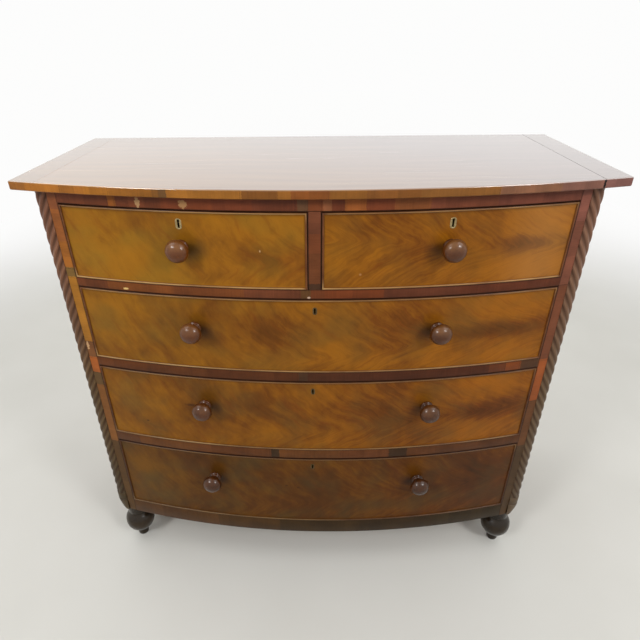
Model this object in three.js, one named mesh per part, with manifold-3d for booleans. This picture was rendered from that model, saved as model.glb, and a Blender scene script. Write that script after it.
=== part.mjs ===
// A bow front chest of drawers: two short drawers over three long ones, between
// rope-twist corner columns, on four turned feet.
// Millimetres. X runs to the right, the front faces -Y, Z is up, the floor is Z = 0.
// Every piece is drawn with Y = 0 at the back of the case, and the whole chest is
// then set with the middle of its footprint over the origin.

import * as THREE from 'three';
import { mergeVertices } from 'three/addons/utils/BufferGeometryUtils.js';
import Module from 'manifold-3d';

const wasm = await Module();
wasm.setup();

// Case, over all
const caseWidth = 1150;          // over the corner columns
const caseDepth = 508;           // back of the case to the middle of the bowed front
const bowRise = 64;              // the middle of the front stands this far ahead of its ends
const sideThickness = 20;
const sideInset = 7;             // side panel set in from the outside of the column
const backThickness = 12;

// Heights, from the floor up
const footHeight = 132;
const baseRailHeight = 46;
const lowerDrawerHeight = 231;
const lowerRailHeight = 28;
const middleDrawerHeight = 210.5;
const middleRailHeight = 25;
const upperDrawerHeight = 186.5;
const upperRailHeight = 21;
const shortDrawerHeight = 165;
const friezeHeight = 29.5;
const topThickness = 18;

// Top board
const topSideOverhang = 33;      // past the columns
const topFrontOverhang = 25;     // past the middle of the front
const topTipOverhang = 12;       // past the front of the columns
const topArris = 1.4;            // softened edge

// Corner posts and rope-twist columns
const postWidth = 22;            // flat stile beside the drawers
const postDepth = 59;
const columnShow = 30;           // width of column seen beside the post
const columnRadius = 21;
const columnProud = 5;           // column ahead of the bow
const columnBack = 15;           // column axis to the front edge of the side panel
const ropeTurn = 224;            // rise of one full turn of a strand
const ropeStrands = 8;
const ropeGroove = 2.5;          // depth of the valley between strands
const ropeTurnSteps = 8;         // rings of points in one full turn
const strandShares = [-0.5, -0.2, 0.2];
const blockHeight = 64;          // plain block under the twist
const blockShoulder = 0.7;       // block proud of the strands
const blockTaperHeight = 37;
const blockTaper = 10;           // outer side of the block drawn in at its foot
const blockGrooveLevel = 41;     // middle of the groove between the block and the ring on it
const blockGrooveReach = 3;      // half the width of that groove
const blockGroove = 2.4;
const ropeSink = 2;              // strands let into the block

// Frame inside the case
const centreWidth = 25.8;        // upright between the short drawers
const runnerWidth = 28;
const guideHeight = 15;
const dustboardThickness = 10;
const stopWidth = 40;
const stopDepth = 20;
const stopHeight = 7;
const stopGap = 0.8;             // a shut drawer stands this far off its stops
const longStopSpread_share = 0.57;
const shortStopSpread_share = 0.22;
const panelMargin = 80;          // frame round the recessed panels of the back
const panelRecess = 4;

// Turned feet
const footSideInset = 41;        // foot axis in from the outside of the columns
const footFrontInset = 30;       // front foot axis behind the front of the columns
const footBackInset = 48;        // rear foot axis ahead of the back
const footRadius = 42;

// Drawers
const drawerGap = 1.4;           // clearance at each end of a drawer
const drawerTopGap = 2;
const drawerFootGap = 1;
const drawerBackSpace = 40;      // back of the case to the back of a drawer
const frontThickness = 22;
const faceInset = 1;             // drawer face behind the rails
const drawerSideThickness = 11;
const drawerSideDrop = 8;        // sides below the top of the opening
const drawerBackThickness = 9;
const drawerBackDrop = 7;        // back board below the sides
const drawerBottomThickness = 8;
const drawerBottomLift = 12;
const grooveDepth = 5.5;
const landMargin = 2.6;          // flat seat for a side, wider than the side
const tailLength = 12;
const tailTip_share = 0.74;      // width of a tail at its tip, of the spacing of the tails
const tailNeck_share = 0.5;
const tailFit = 0.2;

// Cock bead round each drawer
const beadWidth = 3.8;
const beadProud = 2.8;
const beadWidthShares = [0, 0.24, 0.68, 1];
const beadHeightShares = [0.55, 1, 1, 0];

// Turned knobs
const knobRadius = 24;
const knobReach = 45;
const shortKnob_share = 0.538;   // height of the knob in its opening
const upperKnob_share = 0.578;
const middleKnob_share = 0.606;
const lowerKnob_share = 0.632;
const longKnob_share = 0.505;    // place of the knob, of half the opening

// Locks with a brass-lined keyhole: the short drawers have the larger ones
const keyholeDrop = 29;          // keyhole below the top of the opening
const shortLiningWidth = 12.5;
const shortLiningHeight = 22.5;
const shortKeyholeHeight = 18;
const shortKeyholeHead = 3;      // radius of the round head
const shortKeySlot = 4.4;        // width of the slot under the head
const longLiningWidth = 9.5;
const longLiningHeight = 17.5;
const longKeyholeHeight = 13.5;
const longKeyholeHead = 2.7;
const longKeySlot = 4;
const middleKeyholeShift = -5;   // keyhole off the middle of its drawer
const lowerKeyholeShift = -7;
const liningProud = 0.4;
const keyholeDepth = 17;
const lockWidth = 60;
const lockHeight = 44;
const lockThickness = 9;
const selvedgeDepth = 14;
const selvedgeThickness = 2.5;

// Clearances shared by all pieces
const seat = 0.3;                // between pieces that touch
const overrun = 6;               // a cut runs this far past what it cuts
const bowStep = 105;             // length of one facet of a bowed surface
const turnSides = 14;

// Materials
function wood(color, roughness) {
  return new THREE.MeshStandardMaterial({ color, roughness, metalness: 0 });
}

const topWood = wood(0x8a573a, 0.22);
const flameWood = wood(0xa0642a, 0.32);
const railWood = wood(0x74401f, 0.36);
const columnWood = wood(0x6b3a22, 0.36);
const knobWood = wood(0x54291a, 0.2);
const footWood = wood(0x2c1a14, 0.34);
const sideWood = wood(0x7c4526, 0.36);
const innerWood = wood(0xa98252, 0.8);
const brass = new THREE.MeshStandardMaterial({ color: 0xa98f55, roughness: 0.38, metalness: 1 });

// Levels
const baseTop = footHeight + baseRailHeight;
const lowerRailLevel = baseTop + lowerDrawerHeight;
const lowerRailTop = lowerRailLevel + lowerRailHeight;
const middleRailLevel = lowerRailTop + middleDrawerHeight;
const middleRailTop = middleRailLevel + middleRailHeight;
const upperRailLevel = middleRailTop + upperDrawerHeight;
const upperRailTop = upperRailLevel + upperRailHeight;
const friezeLevel = upperRailTop + shortDrawerHeight;
const caseTop = friezeLevel + friezeHeight;

// The bow: every bowed surface of the front shares one centre
const postOuter = caseWidth / 2 - columnShow;
const openHalf = postOuter - postWidth;
const bowRadius = (openHalf ** 2 + bowRise ** 2) / (2 * bowRise);
const bowCentre = bowRadius - caseDepth;

function bowY(x, inset = 0) {
  return bowCentre - Math.sqrt((bowRadius - inset) ** 2 - x ** 2);
}

// Angle by which the front has turned at x
function bowTurn(x) {
  return Math.asin(x / (bowRadius - faceInset));
}

// Places that several pieces share
const columnX = caseWidth / 2 - columnRadius;
const columnFront = bowY(columnX) - columnProud;
const columnY = columnFront + columnRadius;
const sideFront = columnY + columnBack;
const sideOuter = caseWidth / 2 - sideInset;
const sideInner = sideOuter - sideThickness;
const postBack = bowY(openHalf) + postDepth;
const centreHalf = centreWidth / 2;
const shortMiddle = (centreHalf + openHalf) / 2;
const longKnobX = longKnob_share * openHalf;

const chest = new THREE.Group();

// Solids in and out of the joiner and cutter
function toSolid(geometry) {
  const bare = geometry.clone();
  bare.deleteAttribute('normal');
  bare.deleteAttribute('uv');
  const merged = mergeVertices(bare);
  return new wasm.Manifold(new wasm.Mesh({
    numProp: 3,
    vertProperties: new Float32Array(merged.attributes.position.array),
    triVerts: new Uint32Array(merged.index.array),
  }));
}

function toGeometry(solid) {
  const mesh = solid.getMesh();
  const geometry = new THREE.BufferGeometry();
  geometry.setAttribute('position', new THREE.BufferAttribute(mesh.vertProperties, 3));
  geometry.setIndex(new THREE.BufferAttribute(mesh.triVerts, 1));
  return geometry;
}

// Outlines are lists of [a, b] pairs, run counter-clockwise
function outlineShape(points) {
  return new THREE.Shape(points.map(([a, b]) => new THREE.Vector2(a, b)));
}

function extrude(points, length) {
  return new THREE.ExtrudeGeometry(outlineShape(points), { depth: length, bevelEnabled: false });
}

const axisX = new THREE.Vector3(1, 0, 0);
const axisY = new THREE.Vector3(0, 1, 0);
const axisZ = new THREE.Vector3(0, 0, 1);

// A plan outline [x, y] run up from one level to another
function prismUp(points, low, high) {
  return extrude(points, high - low).translate(0, 0, low);
}

// A side outline [y, z] run across from x = left to x = right
function prismAcross(points, left, right) {
  const turn = new THREE.Matrix4().makeBasis(axisY, axisZ, axisX);
  return extrude(points, right - left).applyMatrix4(turn).translate(left, 0, 0);
}

// A front outline [x, z] run forward from y = back to y = front
function prismForward(points, back, front) {
  const turn = new THREE.Matrix4().makeBasis(axisX, axisZ, axisY.clone().negate());
  return extrude(points, back - front).applyMatrix4(turn).translate(0, back, 0);
}

function rectangle(a0, b0, a1, b1) {
  return [[a0, b0], [a1, b0], [a1, b1], [a0, b1]];
}

function block(x0, y0, z0, x1, y1, z1) {
  return prismUp(rectangle(x0, y0, x1, y1), z0, z1);
}

// Rings of points run counter-clockwise about the way they travel; flat gives the two
// coordinates in the plane of a ring
function loft(rings, flat) {
  const count = rings[0].length;
  const last = (rings.length - 1) * count;
  const index = [];
  for (let i = 0; i + 1 < rings.length; i += 1) {
    for (let j = 0; j < count; j += 1) {
      const next = (j + 1) % count;
      const a = i * count + j;
      const b = i * count + next;
      index.push(a, b, b + count, a, b + count, a + count);
    }
  }
  const lid = THREE.ShapeUtils.triangulateShape(rings[0].map(flat), []);
  const farLid = THREE.ShapeUtils.triangulateShape(rings[rings.length - 1].map(flat), []);
  for (const [a, b, c] of lid) index.push(a, c, b);
  for (const [a, b, c] of farLid) index.push(last + a, last + b, last + c);
  const geometry = new THREE.BufferGeometry();
  geometry.setAttribute('position', new THREE.Float32BufferAttribute(rings.flat(2), 3));
  geometry.setIndex(index);
  return geometry;
}

// A turned shape from [radius, height] pairs, standing on its end
function turned(profile, sides = turnSides) {
  const points = profile.map(([r, h]) => new THREE.Vector2(r, h));
  return new THREE.LatheGeometry(points, sides).rotateX(Math.PI / 2);
}

// Points along the bow from one x to another
function bowPoints(from, to, inset) {
  const steps = Math.max(1, Math.round(Math.abs(to - from) / bowStep));
  const points = [];
  for (let i = 0; i <= steps; i += 1) {
    const x = from + ((to - from) * i) / steps;
    points.push([x, bowY(x, inset)]);
  }
  return points;
}

function piece(name, geometry, material, parent = chest) {
  const mesh = new THREE.Mesh(geometry, material);
  mesh.name = name;
  parent.add(mesh);
  return mesh;
}

// Top board: bowed like the front, with its own larger bow and a softened edge
function topBoard() {
  const half = caseWidth / 2 + topSideOverhang - topArris;
  const front = -(caseDepth + topFrontOverhang) + topArris;
  const tip = columnFront - topTipOverhang + topArris;
  const rise = tip - front;
  const radius = (half ** 2 + rise ** 2) / (2 * rise);
  const steps = Math.round((2 * half) / bowStep);
  const points = [[half, -topArris], [-half, -topArris]];
  for (let i = 0; i <= steps; i += 1) {
    const x = -half + (2 * half * i) / steps;
    points.push([x, front + radius - Math.sqrt(radius ** 2 - x ** 2)]);
  }
  const board = new THREE.ExtrudeGeometry(outlineShape(points), {
    depth: topThickness - 2 * topArris,
    bevelSize: topArris,
    bevelThickness: topArris,
    bevelSegments: 1,
  });
  const mesh = piece('top_board', board, topWood);
  mesh.position.z = caseTop + topArris;
}

// Sides, back and the flat corner posts
function caseWalls() {
  for (const [name, hand] of [['left', -1], ['right', 1]]) {
    const panel = rectangle(-sideThickness / 2, sideFront, sideThickness / 2, 0);
    const side = piece(`side_${name}`, prismUp(panel, footHeight, caseTop - seat), sideWood);
    side.position.x = hand * (sideInner + sideThickness / 2);

    const points = [
      [openHalf, postBack], [sideInner - seat, postBack], [sideInner - seat, sideFront],
      [postOuter, sideFront], [postOuter, bowY(postOuter)], [openHalf, bowY(openHalf)],
    ].map(([x, y]) => [hand * x, y]);
    if (hand > 0) points.reverse();
    piece(`corner_post_${name}`, prismUp(points, footHeight, caseTop - seat), railWood);
  }
  const half = sideInner - seat;
  const top = caseTop - seat;
  const board = block(-half, -backThickness, footHeight, half, 0, top);
  let back = toSolid(board);
  const fields = [[panelMargin - half, -panelMargin / 2], [panelMargin / 2, half - panelMargin]];
  for (const [left, right] of fields) {
    const low = footHeight + panelMargin;
    const field = block(left, -panelRecess, low, right, overrun, top - panelMargin);
    back = back.subtract(toSolid(field));
  }
  piece('back_panel', toGeometry(back), innerWood);
}

// One ring of the rope: each strand swells between two valleys
function ropeRing(turn, level) {
  const ring = [];
  for (let strand = 0; strand < ropeStrands; strand += 1) {
    for (const share of strandShares) {
      const angle = turn + ((strand + share) * 2 * Math.PI) / ropeStrands;
      const radius = columnRadius - ropeGroove * (2 * share) ** 2;
      ring.push([radius * Math.cos(angle), radius * Math.sin(angle), level]);
    }
  }
  return ring;
}

// Section of the block under the rope, drawn in towards the post
function blockRing(level, radius, drawn = 0) {
  const sides = 2 * turnSides;
  const ring = [];
  for (let i = 0; i < sides; i += 1) {
    const angle = (2 * Math.PI * i) / sides;
    ring.push([radius * Math.cos(angle) - drawn, radius * Math.sin(angle), level]);
  }
  return ring;
}

// The block: its outer side leans in at the foot, its front stays flush, and a groove
// leaves a plain ring under the rope
function columnBlock() {
  const radius = columnRadius + blockShoulder;
  const taperSteps = 4;
  const rings = [];
  for (let i = 0; i <= taperSteps; i += 1) {
    const share = i / taperSteps;
    rings.push(blockRing(share * blockTaperHeight, radius, blockTaper * (1 - share) ** 1.5));
  }
  rings.push(blockRing(blockGrooveLevel - blockGrooveReach, radius));
  rings.push(blockRing(blockGrooveLevel, radius - blockGroove));
  rings.push(blockRing(blockGrooveLevel + blockGrooveReach, radius));
  rings.push(blockRing(blockHeight - blockShoulder, radius));
  rings.push(blockRing(blockHeight, radius - blockShoulder));
  return toSolid(loft(rings, ([x, y]) => new THREE.Vector2(x, y)));
}

// Rope-twist column with its plain block, cut square where it meets the post and side.
// The left one mirrors the right one, so their strands run opposite ways.
function column(name, hand) {
  const length = caseTop - seat - footHeight;
  const ropeFoot = blockHeight - ropeSink;
  const rise = ropeTurn / ropeTurnSteps;
  const steps = Math.round((length - ropeFoot) / rise);
  const rings = [];
  for (let i = 0; i <= steps; i += 1) {
    const level = ropeFoot + ((length - ropeFoot) * i) / steps;
    rings.push(ropeRing((-2 * Math.PI * level) / ropeTurn, level));
  }
  const rope = toSolid(loft(rings, ([x, y]) => new THREE.Vector2(x, y)));

  const inner = postOuter + seat - columnX;
  const outer = columnRadius + overrun;
  const corner = toSolid(block(inner, -outer, 0, outer, columnBack - seat, length));
  let solid = rope.add(columnBlock()).intersect(corner);
  if (hand < 0) solid = solid.mirror([1, 0, 0]);
  const mesh = piece(`column_${name}`, toGeometry(solid), columnWood);
  mesh.position.set(hand * columnX, columnY, footHeight);
}

// A bowed rail across the front, with blocks on it that stop the drawers above
function rail(name, low, high, stops) {
  const half = openHalf - seat;
  const points = [[half, postBack], [-half, postBack], ...bowPoints(-half, half)];
  let solid = toSolid(prismUp(points, low, high));
  for (const x of stops) {
    const outer = Math.abs(x) + stopWidth / 2;
    const front = bowY(outer, faceInset + frontThickness) + stopGap;
    const left = x - stopWidth / 2;
    const right = x + stopWidth / 2;
    const stop = block(left, front, high - seat, right, front + stopDepth, high + stopHeight);
    solid = solid.add(toSolid(stop));
  }
  piece(name, toGeometry(solid), railWood);
}

// A dustboard with the runners that carry a drawer and the guides that keep it straight
function dustboard(name, low, high) {
  const outer = sideInner - seat;
  const inner = openHalf - runnerWidth;
  const under = high - dustboardThickness;
  const guide = high + guideHeight;
  const points = [
    [-outer, low], [-inner, low], [-inner, under], [inner, under], [inner, low], [outer, low],
    [outer, guide], [openHalf, guide], [openHalf, high],
    [-openHalf, high], [-openHalf, guide], [-outer, guide],
  ];
  piece(name, prismForward(points, -backThickness - seat, postBack + seat), innerWood);
}

// Rails, dustboards and the upright between the short drawers
function caseFrame() {
  const longStops = [-longStopSpread_share * openHalf, longStopSpread_share * openHalf];
  const shortSpread = shortStopSpread_share * openHalf;
  const shortStops = [-1, 1].flatMap((hand) => [
    hand * (shortMiddle - shortSpread), hand * (shortMiddle + shortSpread),
  ]);
  rail('frieze_rail', friezeLevel, caseTop - seat, []);
  rail('rail_upper', upperRailLevel, upperRailTop, shortStops);
  rail('rail_middle', middleRailLevel, middleRailTop, longStops);
  rail('rail_lower', lowerRailLevel, lowerRailTop, longStops);
  rail('base_rail', footHeight, baseTop, longStops);
  dustboard('dustboard_upper', upperRailLevel, upperRailTop);
  dustboard('dustboard_middle', middleRailLevel, middleRailTop);
  dustboard('dustboard_lower', lowerRailLevel, lowerRailTop);
  dustboard('bottom_board', footHeight, baseTop);

  const back = -backThickness - seat;
  const points = [[centreHalf, back], [-centreHalf, back], ...bowPoints(-centreHalf, centreHalf)];
  piece('centre_division', prismUp(points, upperRailTop + seat, friezeLevel - seat), railWood);
}

// Turned foot: a small toe, a ball and a pad. Radii are shares of the ball's, heights are
// shares of the foot.
const footShares = [
  [0.36, 0], [0.38, 0.2], [0.68, 0.262], [0.9, 0.36], [1, 0.505],
  [0.9, 0.65], [0.68, 0.748], [0.66, 0.8], [0.7, 0.84], [0.7, 1],
];

function feet() {
  const height = footHeight - seat;
  const rings = footShares.map(([r, h]) => [r * footRadius, h * height]);
  const profile = [[0, 0], ...rings, [0, height]];
  const footX = caseWidth / 2 - footSideInset;
  const places = [
    ['foot_front_left', -footX, columnFront + footFrontInset],
    ['foot_front_right', footX, columnFront + footFrontInset],
    ['foot_back_left', -footX, -footBackInset],
    ['foot_back_right', footX, -footBackInset],
  ];
  for (const [name, x, y] of places) {
    piece(name, turned(profile), footWood).position.set(x, y, 0);
  }
}

// Height of the bead at a distance from the edge of the drawer front
function beadHeight(distance) {
  for (let i = 1; i < beadWidthShares.length; i += 1) {
    const from = beadWidthShares[i - 1] * beadWidth;
    const to = beadWidthShares[i] * beadWidth;
    if (distance < to) {
      const part = Math.max(0, distance - from) / (to - from);
      const low = beadHeightShares[i - 1];
      return beadProud * (low + (beadHeightShares[i] - low) * part);
    }
  }
  return 0;
}

// One drawer: what its pieces share is worked out once
function drawerPlan(left, right, height) {
  const plan = { left: left + drawerGap, right: right - drawerGap };
  plan.innerLeft = plan.left + drawerSideThickness;
  plan.innerRight = plan.right - drawerSideThickness;
  plan.landLeft = plan.innerLeft + landMargin;
  plan.landRight = plan.innerRight - landMargin;
  plan.low = drawerFootGap;
  plan.high = height - drawerTopGap;
  plan.sideTop = height - drawerSideDrop;
  plan.end = -drawerBackSpace;
  plan.backFront = plan.end - drawerBackThickness;
  plan.backLow = drawerBottomLift + drawerBottomThickness + seat;
  plan.backHigh = plan.sideTop - drawerBackDrop;
  plan.innerFace = (x) => {
    const inner = Math.min(Math.max(x, plan.landLeft), plan.landRight);
    return bowY(inner, faceInset + frontThickness);
  };
  return plan;
}

// Middles, necks and tips of the tails between two levels
function tailPlaces(low, high, count) {
  const spacing = (high - low) / count;
  return Array.from({ length: count }, (_, i) => ({
    middle: low + (i + 0.5) * spacing,
    neck: (tailNeck_share * spacing) / 2,
    tip: (tailTip_share * spacing) / 2,
  }));
}

// The space a tail takes, with its fit, run back past the shoulder and beyond the tip
function tailSpace({ middle, neck, tip }, shoulder, end, beyond, left, right) {
  const away = Math.sign(shoulder - end);
  const mouth = shoulder + away * overrun;
  const deep = end - away * beyond;
  const half = neck + tailFit;
  const wide = tip + tailFit;
  const points = [
    [mouth, middle - half], [shoulder, middle - half], [end, middle - wide], [deep, middle - wide],
    [deep, middle + wide], [end, middle + wide], [shoulder, middle + half], [mouth, middle + half],
  ];
  if (away > 0) points.reverse();
  return toSolid(prismAcross(points, left, right));
}

// The bottom board in plan, larger by a margin where it makes the groove
function bottomOutline(plan, margin) {
  const reach = grooveDepth + margin;
  const left = plan.innerLeft - reach;
  const right = plan.innerRight + reach;
  const front = (x) => [x, plan.innerFace(x) - reach];
  const arc = bowPoints(plan.landLeft, plan.landRight).map(([x]) => front(x));
  const back = plan.end + (margin > 0 ? overrun : 0);
  return [[right, back], [left, back], front(left), ...arc, front(right)];
}

function bottomSpace(plan) {
  const low = drawerBottomLift - seat;
  const high = drawerBottomLift + drawerBottomThickness + seat;
  return toSolid(prismUp(bottomOutline(plan, seat), low, high));
}

// Bowed front with a rounded bead round its edge: a ring of points at each x
function frontBlank(plan) {
  const reaches = beadWidthShares.map((share) => share * beadWidth);
  const arc = bowPoints(plan.landLeft, plan.landRight).map(([x]) => x);
  const places = [
    ...reaches.map((d) => plan.left + d), ...arc, ...reaches.map((d) => plan.right - d).reverse(),
  ];
  const levels = [...reaches.map((d) => plan.high - d), ...reaches.map((d) => plan.low + d).reverse()];
  const rings = places.map((x) => {
    const across = Math.min(x - plan.left, plan.right - x);
    const face = levels.map((z) => {
      const distance = Math.min(across, z - plan.low, plan.high - z);
      return [x, bowY(x, faceInset - beadHeight(distance)), z];
    });
    return [[x, plan.innerFace(x), plan.low], [x, plan.innerFace(x), plan.high], ...face];
  });
  return toSolid(loft(rings, ([, y, z]) => new THREE.Vector2(y, z)));
}

// Keyholes of the two kinds of drawer
const shortKeyhole = {
  liningWidth: shortLiningWidth,
  liningHeight: shortLiningHeight,
  height: shortKeyholeHeight,
  head: shortKeyholeHead,
  slot: shortKeySlot,
};
const longKeyhole = {
  liningWidth: longLiningWidth,
  liningHeight: longLiningHeight,
  height: longKeyholeHeight,
  head: longKeyholeHead,
  slot: longKeySlot,
};

// Places a solid on the drawer face: its own -Y then points straight out of the bow
function onFace(solid, x, z) {
  const degrees = THREE.MathUtils.radToDeg(bowTurn(x));
  return solid.rotate([0, 0, degrees]).translate([x, bowY(x, faceInset), z]);
}

// Upright slot outline with round ends, as [x, z]
function slotOutline(width, height) {
  const radius = width / 2;
  const straight = height / 2 - radius;
  const steps = 4;
  const points = [];
  for (const [middle, start] of [[straight, 0], [-straight, Math.PI]]) {
    for (let i = 0; i <= steps; i += 1) {
      const angle = start + (Math.PI * i) / steps;
      points.push([radius * Math.cos(angle), middle + radius * Math.sin(angle)]);
    }
  }
  return points;
}

// Keyhole outline, a round head over a straight slot, as [x, z]
function keyholeOutline(key) {
  const middle = key.height / 2 - key.head;
  const half = key.slot / 2;
  const below = Math.acos(half / key.head);
  const steps = 6;
  const points = [[-half, -key.height / 2], [half, -key.height / 2]];
  for (let i = 0; i <= steps; i += 1) {
    const angle = -below + ((Math.PI + 2 * below) * i) / steps;
    points.push([key.head * Math.cos(angle), middle + key.head * Math.sin(angle)]);
  }
  return points;
}

// Lock let into the back and top of the front, with the brass lining of its keyhole
function lockSolid(key, margin) {
  const top = keyholeDrop - drawerTopGap;
  const half = lockWidth / 2 + margin;
  const back = frontThickness + (margin > 0 ? overrun : 0);
  const high = top + (margin > 0 ? overrun : 0);
  const front = frontThickness - lockThickness - margin;
  const body = toSolid(block(-half, front, top - lockHeight - margin, half, back, high));
  const selvedge = toSolid(block(
    -half, frontThickness - selvedgeDepth - margin, top - selvedgeThickness - margin, half, back, high,
  ));
  const outline = slotOutline(key.liningWidth + 2 * margin, key.liningHeight + 2 * margin);
  const reach = margin > 0 ? overrun : liningProud;
  const lining = toSolid(prismForward(outline, frontThickness - lockThickness / 2, -reach));
  return body.add(selvedge).add(lining);
}

function keyholeSpace(key) {
  return toSolid(prismForward(keyholeOutline(key), keyholeDepth, -overrun));
}

// Turned knob: a foot on the face, a waist, then a broad domed head. Radii are shares
// of the head, heights are shares of the reach.
const knobShares = [
  [0.62, 0], [0.6, 0.08], [0.45, 0.14], [0.46, 0.26], [0.66, 0.36], [0.9, 0.45],
  [1, 0.59], [0.97, 0.7], [0.78, 0.87], [0.4, 0.97],
];

function knob(name, x, z, parent) {
  const rings = knobShares.map(([r, h]) => [r * knobRadius, h * knobReach]);
  const profile = [[0, 0], ...rings, [0, knobReach]];
  const geometry = turned(profile).rotateX(Math.PI / 2);
  const mesh = piece(name, geometry, knobWood, parent);
  const turn = bowTurn(x);
  mesh.rotation.z = turn;
  mesh.position.set(x + seat * Math.sin(turn), bowY(x, faceInset) - seat * Math.cos(turn), z);
}

// A drawer side with half-blind tails into the front and through tails into the back
function drawerSide(plan, frontTails, backTails, land) {
  const shoulder = land + seat;
  const tip = land - tailLength;
  const backShoulder = plan.backFront - seat;
  const points = [[shoulder, plan.sideTop]];
  for (const tail of [...frontTails].reverse()) {
    points.push([shoulder, tail.middle + tail.neck], [tip, tail.middle + tail.tip]);
    points.push([tip, tail.middle - tail.tip], [shoulder, tail.middle - tail.neck]);
  }
  points.push([shoulder, seat], [plan.end, seat], [plan.end, plan.backLow - seat]);
  points.push([backShoulder, plan.backLow - seat]);
  for (const tail of backTails) {
    points.push([backShoulder, tail.middle - tail.neck], [plan.end, tail.middle - tail.tip]);
    points.push([plan.end, tail.middle + tail.tip], [backShoulder, tail.middle + tail.neck]);
  }
  points.push([backShoulder, plan.backHigh + seat], [plan.end, plan.backHigh + seat]);
  points.push([plan.end, plan.sideTop]);
  return points;
}

function drawer(name, span, level, height, tailCount, knobPlaces, knob_share, key, keyX) {
  const [left, right] = span;
  const plan = drawerPlan(left, right, height);
  const frontTails = tailPlaces(plan.low + seat, plan.sideTop, tailCount);
  const backTails = tailPlaces(plan.backLow, plan.backHigh, tailCount);
  const parent = new THREE.Group();
  parent.position.z = level;
  chest.add(parent);

  const ends = [
    ['left', plan.left, plan.innerLeft, plan.landLeft],
    ['right', plan.innerRight, plan.right, plan.landRight],
  ];
  const groove = bottomSpace(plan);
  const keyZ = height - keyholeDrop;
  let front = frontBlank(plan).subtract(groove);
  front = front.subtract(onFace(lockSolid(key, seat), keyX, keyZ));
  let back = toSolid(block(plan.left, plan.backFront, plan.backLow, plan.right, plan.end, plan.backHigh));
  for (const [side, from, to, landX] of ends) {
    const land = plan.innerFace(landX);
    const cutFrom = side === 'left' ? from - overrun : from - tailFit;
    const cutTo = side === 'left' ? to + tailFit : to + overrun;
    for (const tail of frontTails) {
      front = front.subtract(tailSpace(tail, land, land - tailLength, tailFit, cutFrom, cutTo));
    }
    for (const tail of backTails) {
      back = back.subtract(tailSpace(tail, plan.backFront, plan.end, overrun, cutFrom, cutTo));
    }
    const board = toSolid(prismAcross(drawerSide(plan, frontTails, backTails, land), from, to));
    piece(`${name}_side_${side}`, toGeometry(board.subtract(groove)), innerWood, parent);
  }
  piece(`${name}_front`, toGeometry(front), flameWood, parent);
  piece(`${name}_back`, toGeometry(back), innerWood, parent);
  const boardLow = drawerBottomLift;
  const bottom = prismUp(bottomOutline(plan, 0), boardLow, boardLow + drawerBottomThickness);
  piece(`${name}_bottom`, bottom, innerWood, parent);

  const lock = onFace(lockSolid(key, 0).subtract(keyholeSpace(key)), keyX, keyZ);
  piece(`${name}_lock`, toGeometry(lock), brass, parent);
  for (const [suffix, x] of knobPlaces) {
    knob(`${name}_knob${suffix}`, x, knob_share * height, parent);
  }
}

topBoard();
caseWalls();
column('left', -1);
column('right', 1);
caseFrame();
feet();

const longSpan = [-openHalf, openHalf];
const longKnobs = [['_left', -longKnobX], ['_right', longKnobX]];
drawer(
  'drawer_short_left', [-openHalf, -centreHalf], upperRailTop, shortDrawerHeight,
  3, [['', -shortMiddle]], shortKnob_share, shortKeyhole, -shortMiddle,
);
drawer(
  'drawer_short_right', [centreHalf, openHalf], upperRailTop, shortDrawerHeight,
  3, [['', shortMiddle]], shortKnob_share, shortKeyhole, shortMiddle,
);
drawer(
  'drawer_upper', longSpan, middleRailTop, upperDrawerHeight,
  3, longKnobs, upperKnob_share, longKeyhole, 0,
);
drawer(
  'drawer_middle', longSpan, lowerRailTop, middleDrawerHeight,
  4, longKnobs, middleKnob_share, longKeyhole, middleKeyholeShift,
);
drawer(
  'drawer_lower', longSpan, baseTop, lowerDrawerHeight,
  4, longKnobs, lowerKnob_share, longKeyhole, lowerKeyholeShift,
);

// The middle of the footprint, knobs included, comes over the origin
const box = new THREE.Box3().setFromObject(chest);
chest.position.y = -(box.min.y + box.max.y) / 2;

export default chest;
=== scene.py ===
"""Looks of a bow front chest of drawers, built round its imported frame."""

import math

import bmesh
import bpy
from mathutils import Matrix, Vector
from mathutils.geometry import delaunay_2d_cdt


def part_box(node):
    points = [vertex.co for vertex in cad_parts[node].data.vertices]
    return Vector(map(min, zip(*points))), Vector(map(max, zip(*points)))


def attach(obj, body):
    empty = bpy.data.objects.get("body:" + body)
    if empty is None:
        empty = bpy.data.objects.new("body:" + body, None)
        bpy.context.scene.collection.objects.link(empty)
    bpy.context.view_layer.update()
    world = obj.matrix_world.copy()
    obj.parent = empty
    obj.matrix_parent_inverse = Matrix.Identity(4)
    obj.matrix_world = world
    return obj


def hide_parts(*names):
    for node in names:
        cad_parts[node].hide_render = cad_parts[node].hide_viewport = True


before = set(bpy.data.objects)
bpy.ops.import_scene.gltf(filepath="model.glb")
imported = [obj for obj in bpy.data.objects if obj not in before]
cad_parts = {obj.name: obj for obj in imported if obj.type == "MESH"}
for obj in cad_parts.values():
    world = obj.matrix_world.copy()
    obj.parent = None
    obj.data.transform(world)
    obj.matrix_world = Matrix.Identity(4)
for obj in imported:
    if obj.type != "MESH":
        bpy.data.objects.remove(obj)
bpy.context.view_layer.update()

bl_info = {
    "name": "Bow Front Chest",
    "version": (1, 0, 0),
    "blender": (4, 5, 0),
    "location": "3D View > Sidebar > Chest",
    "description": "Veneers, turnings, beads and keyhole linings of a bow front chest of drawers",
    "category": "Object",
}

MM = 0.001

DRAWERS = (
    "drawer_short_left", "drawer_short_right", "drawer_upper", "drawer_middle", "drawer_lower",
)
RAILS = ("frieze_rail", "rail_upper", "rail_middle", "rail_lower", "base_rail")

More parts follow.
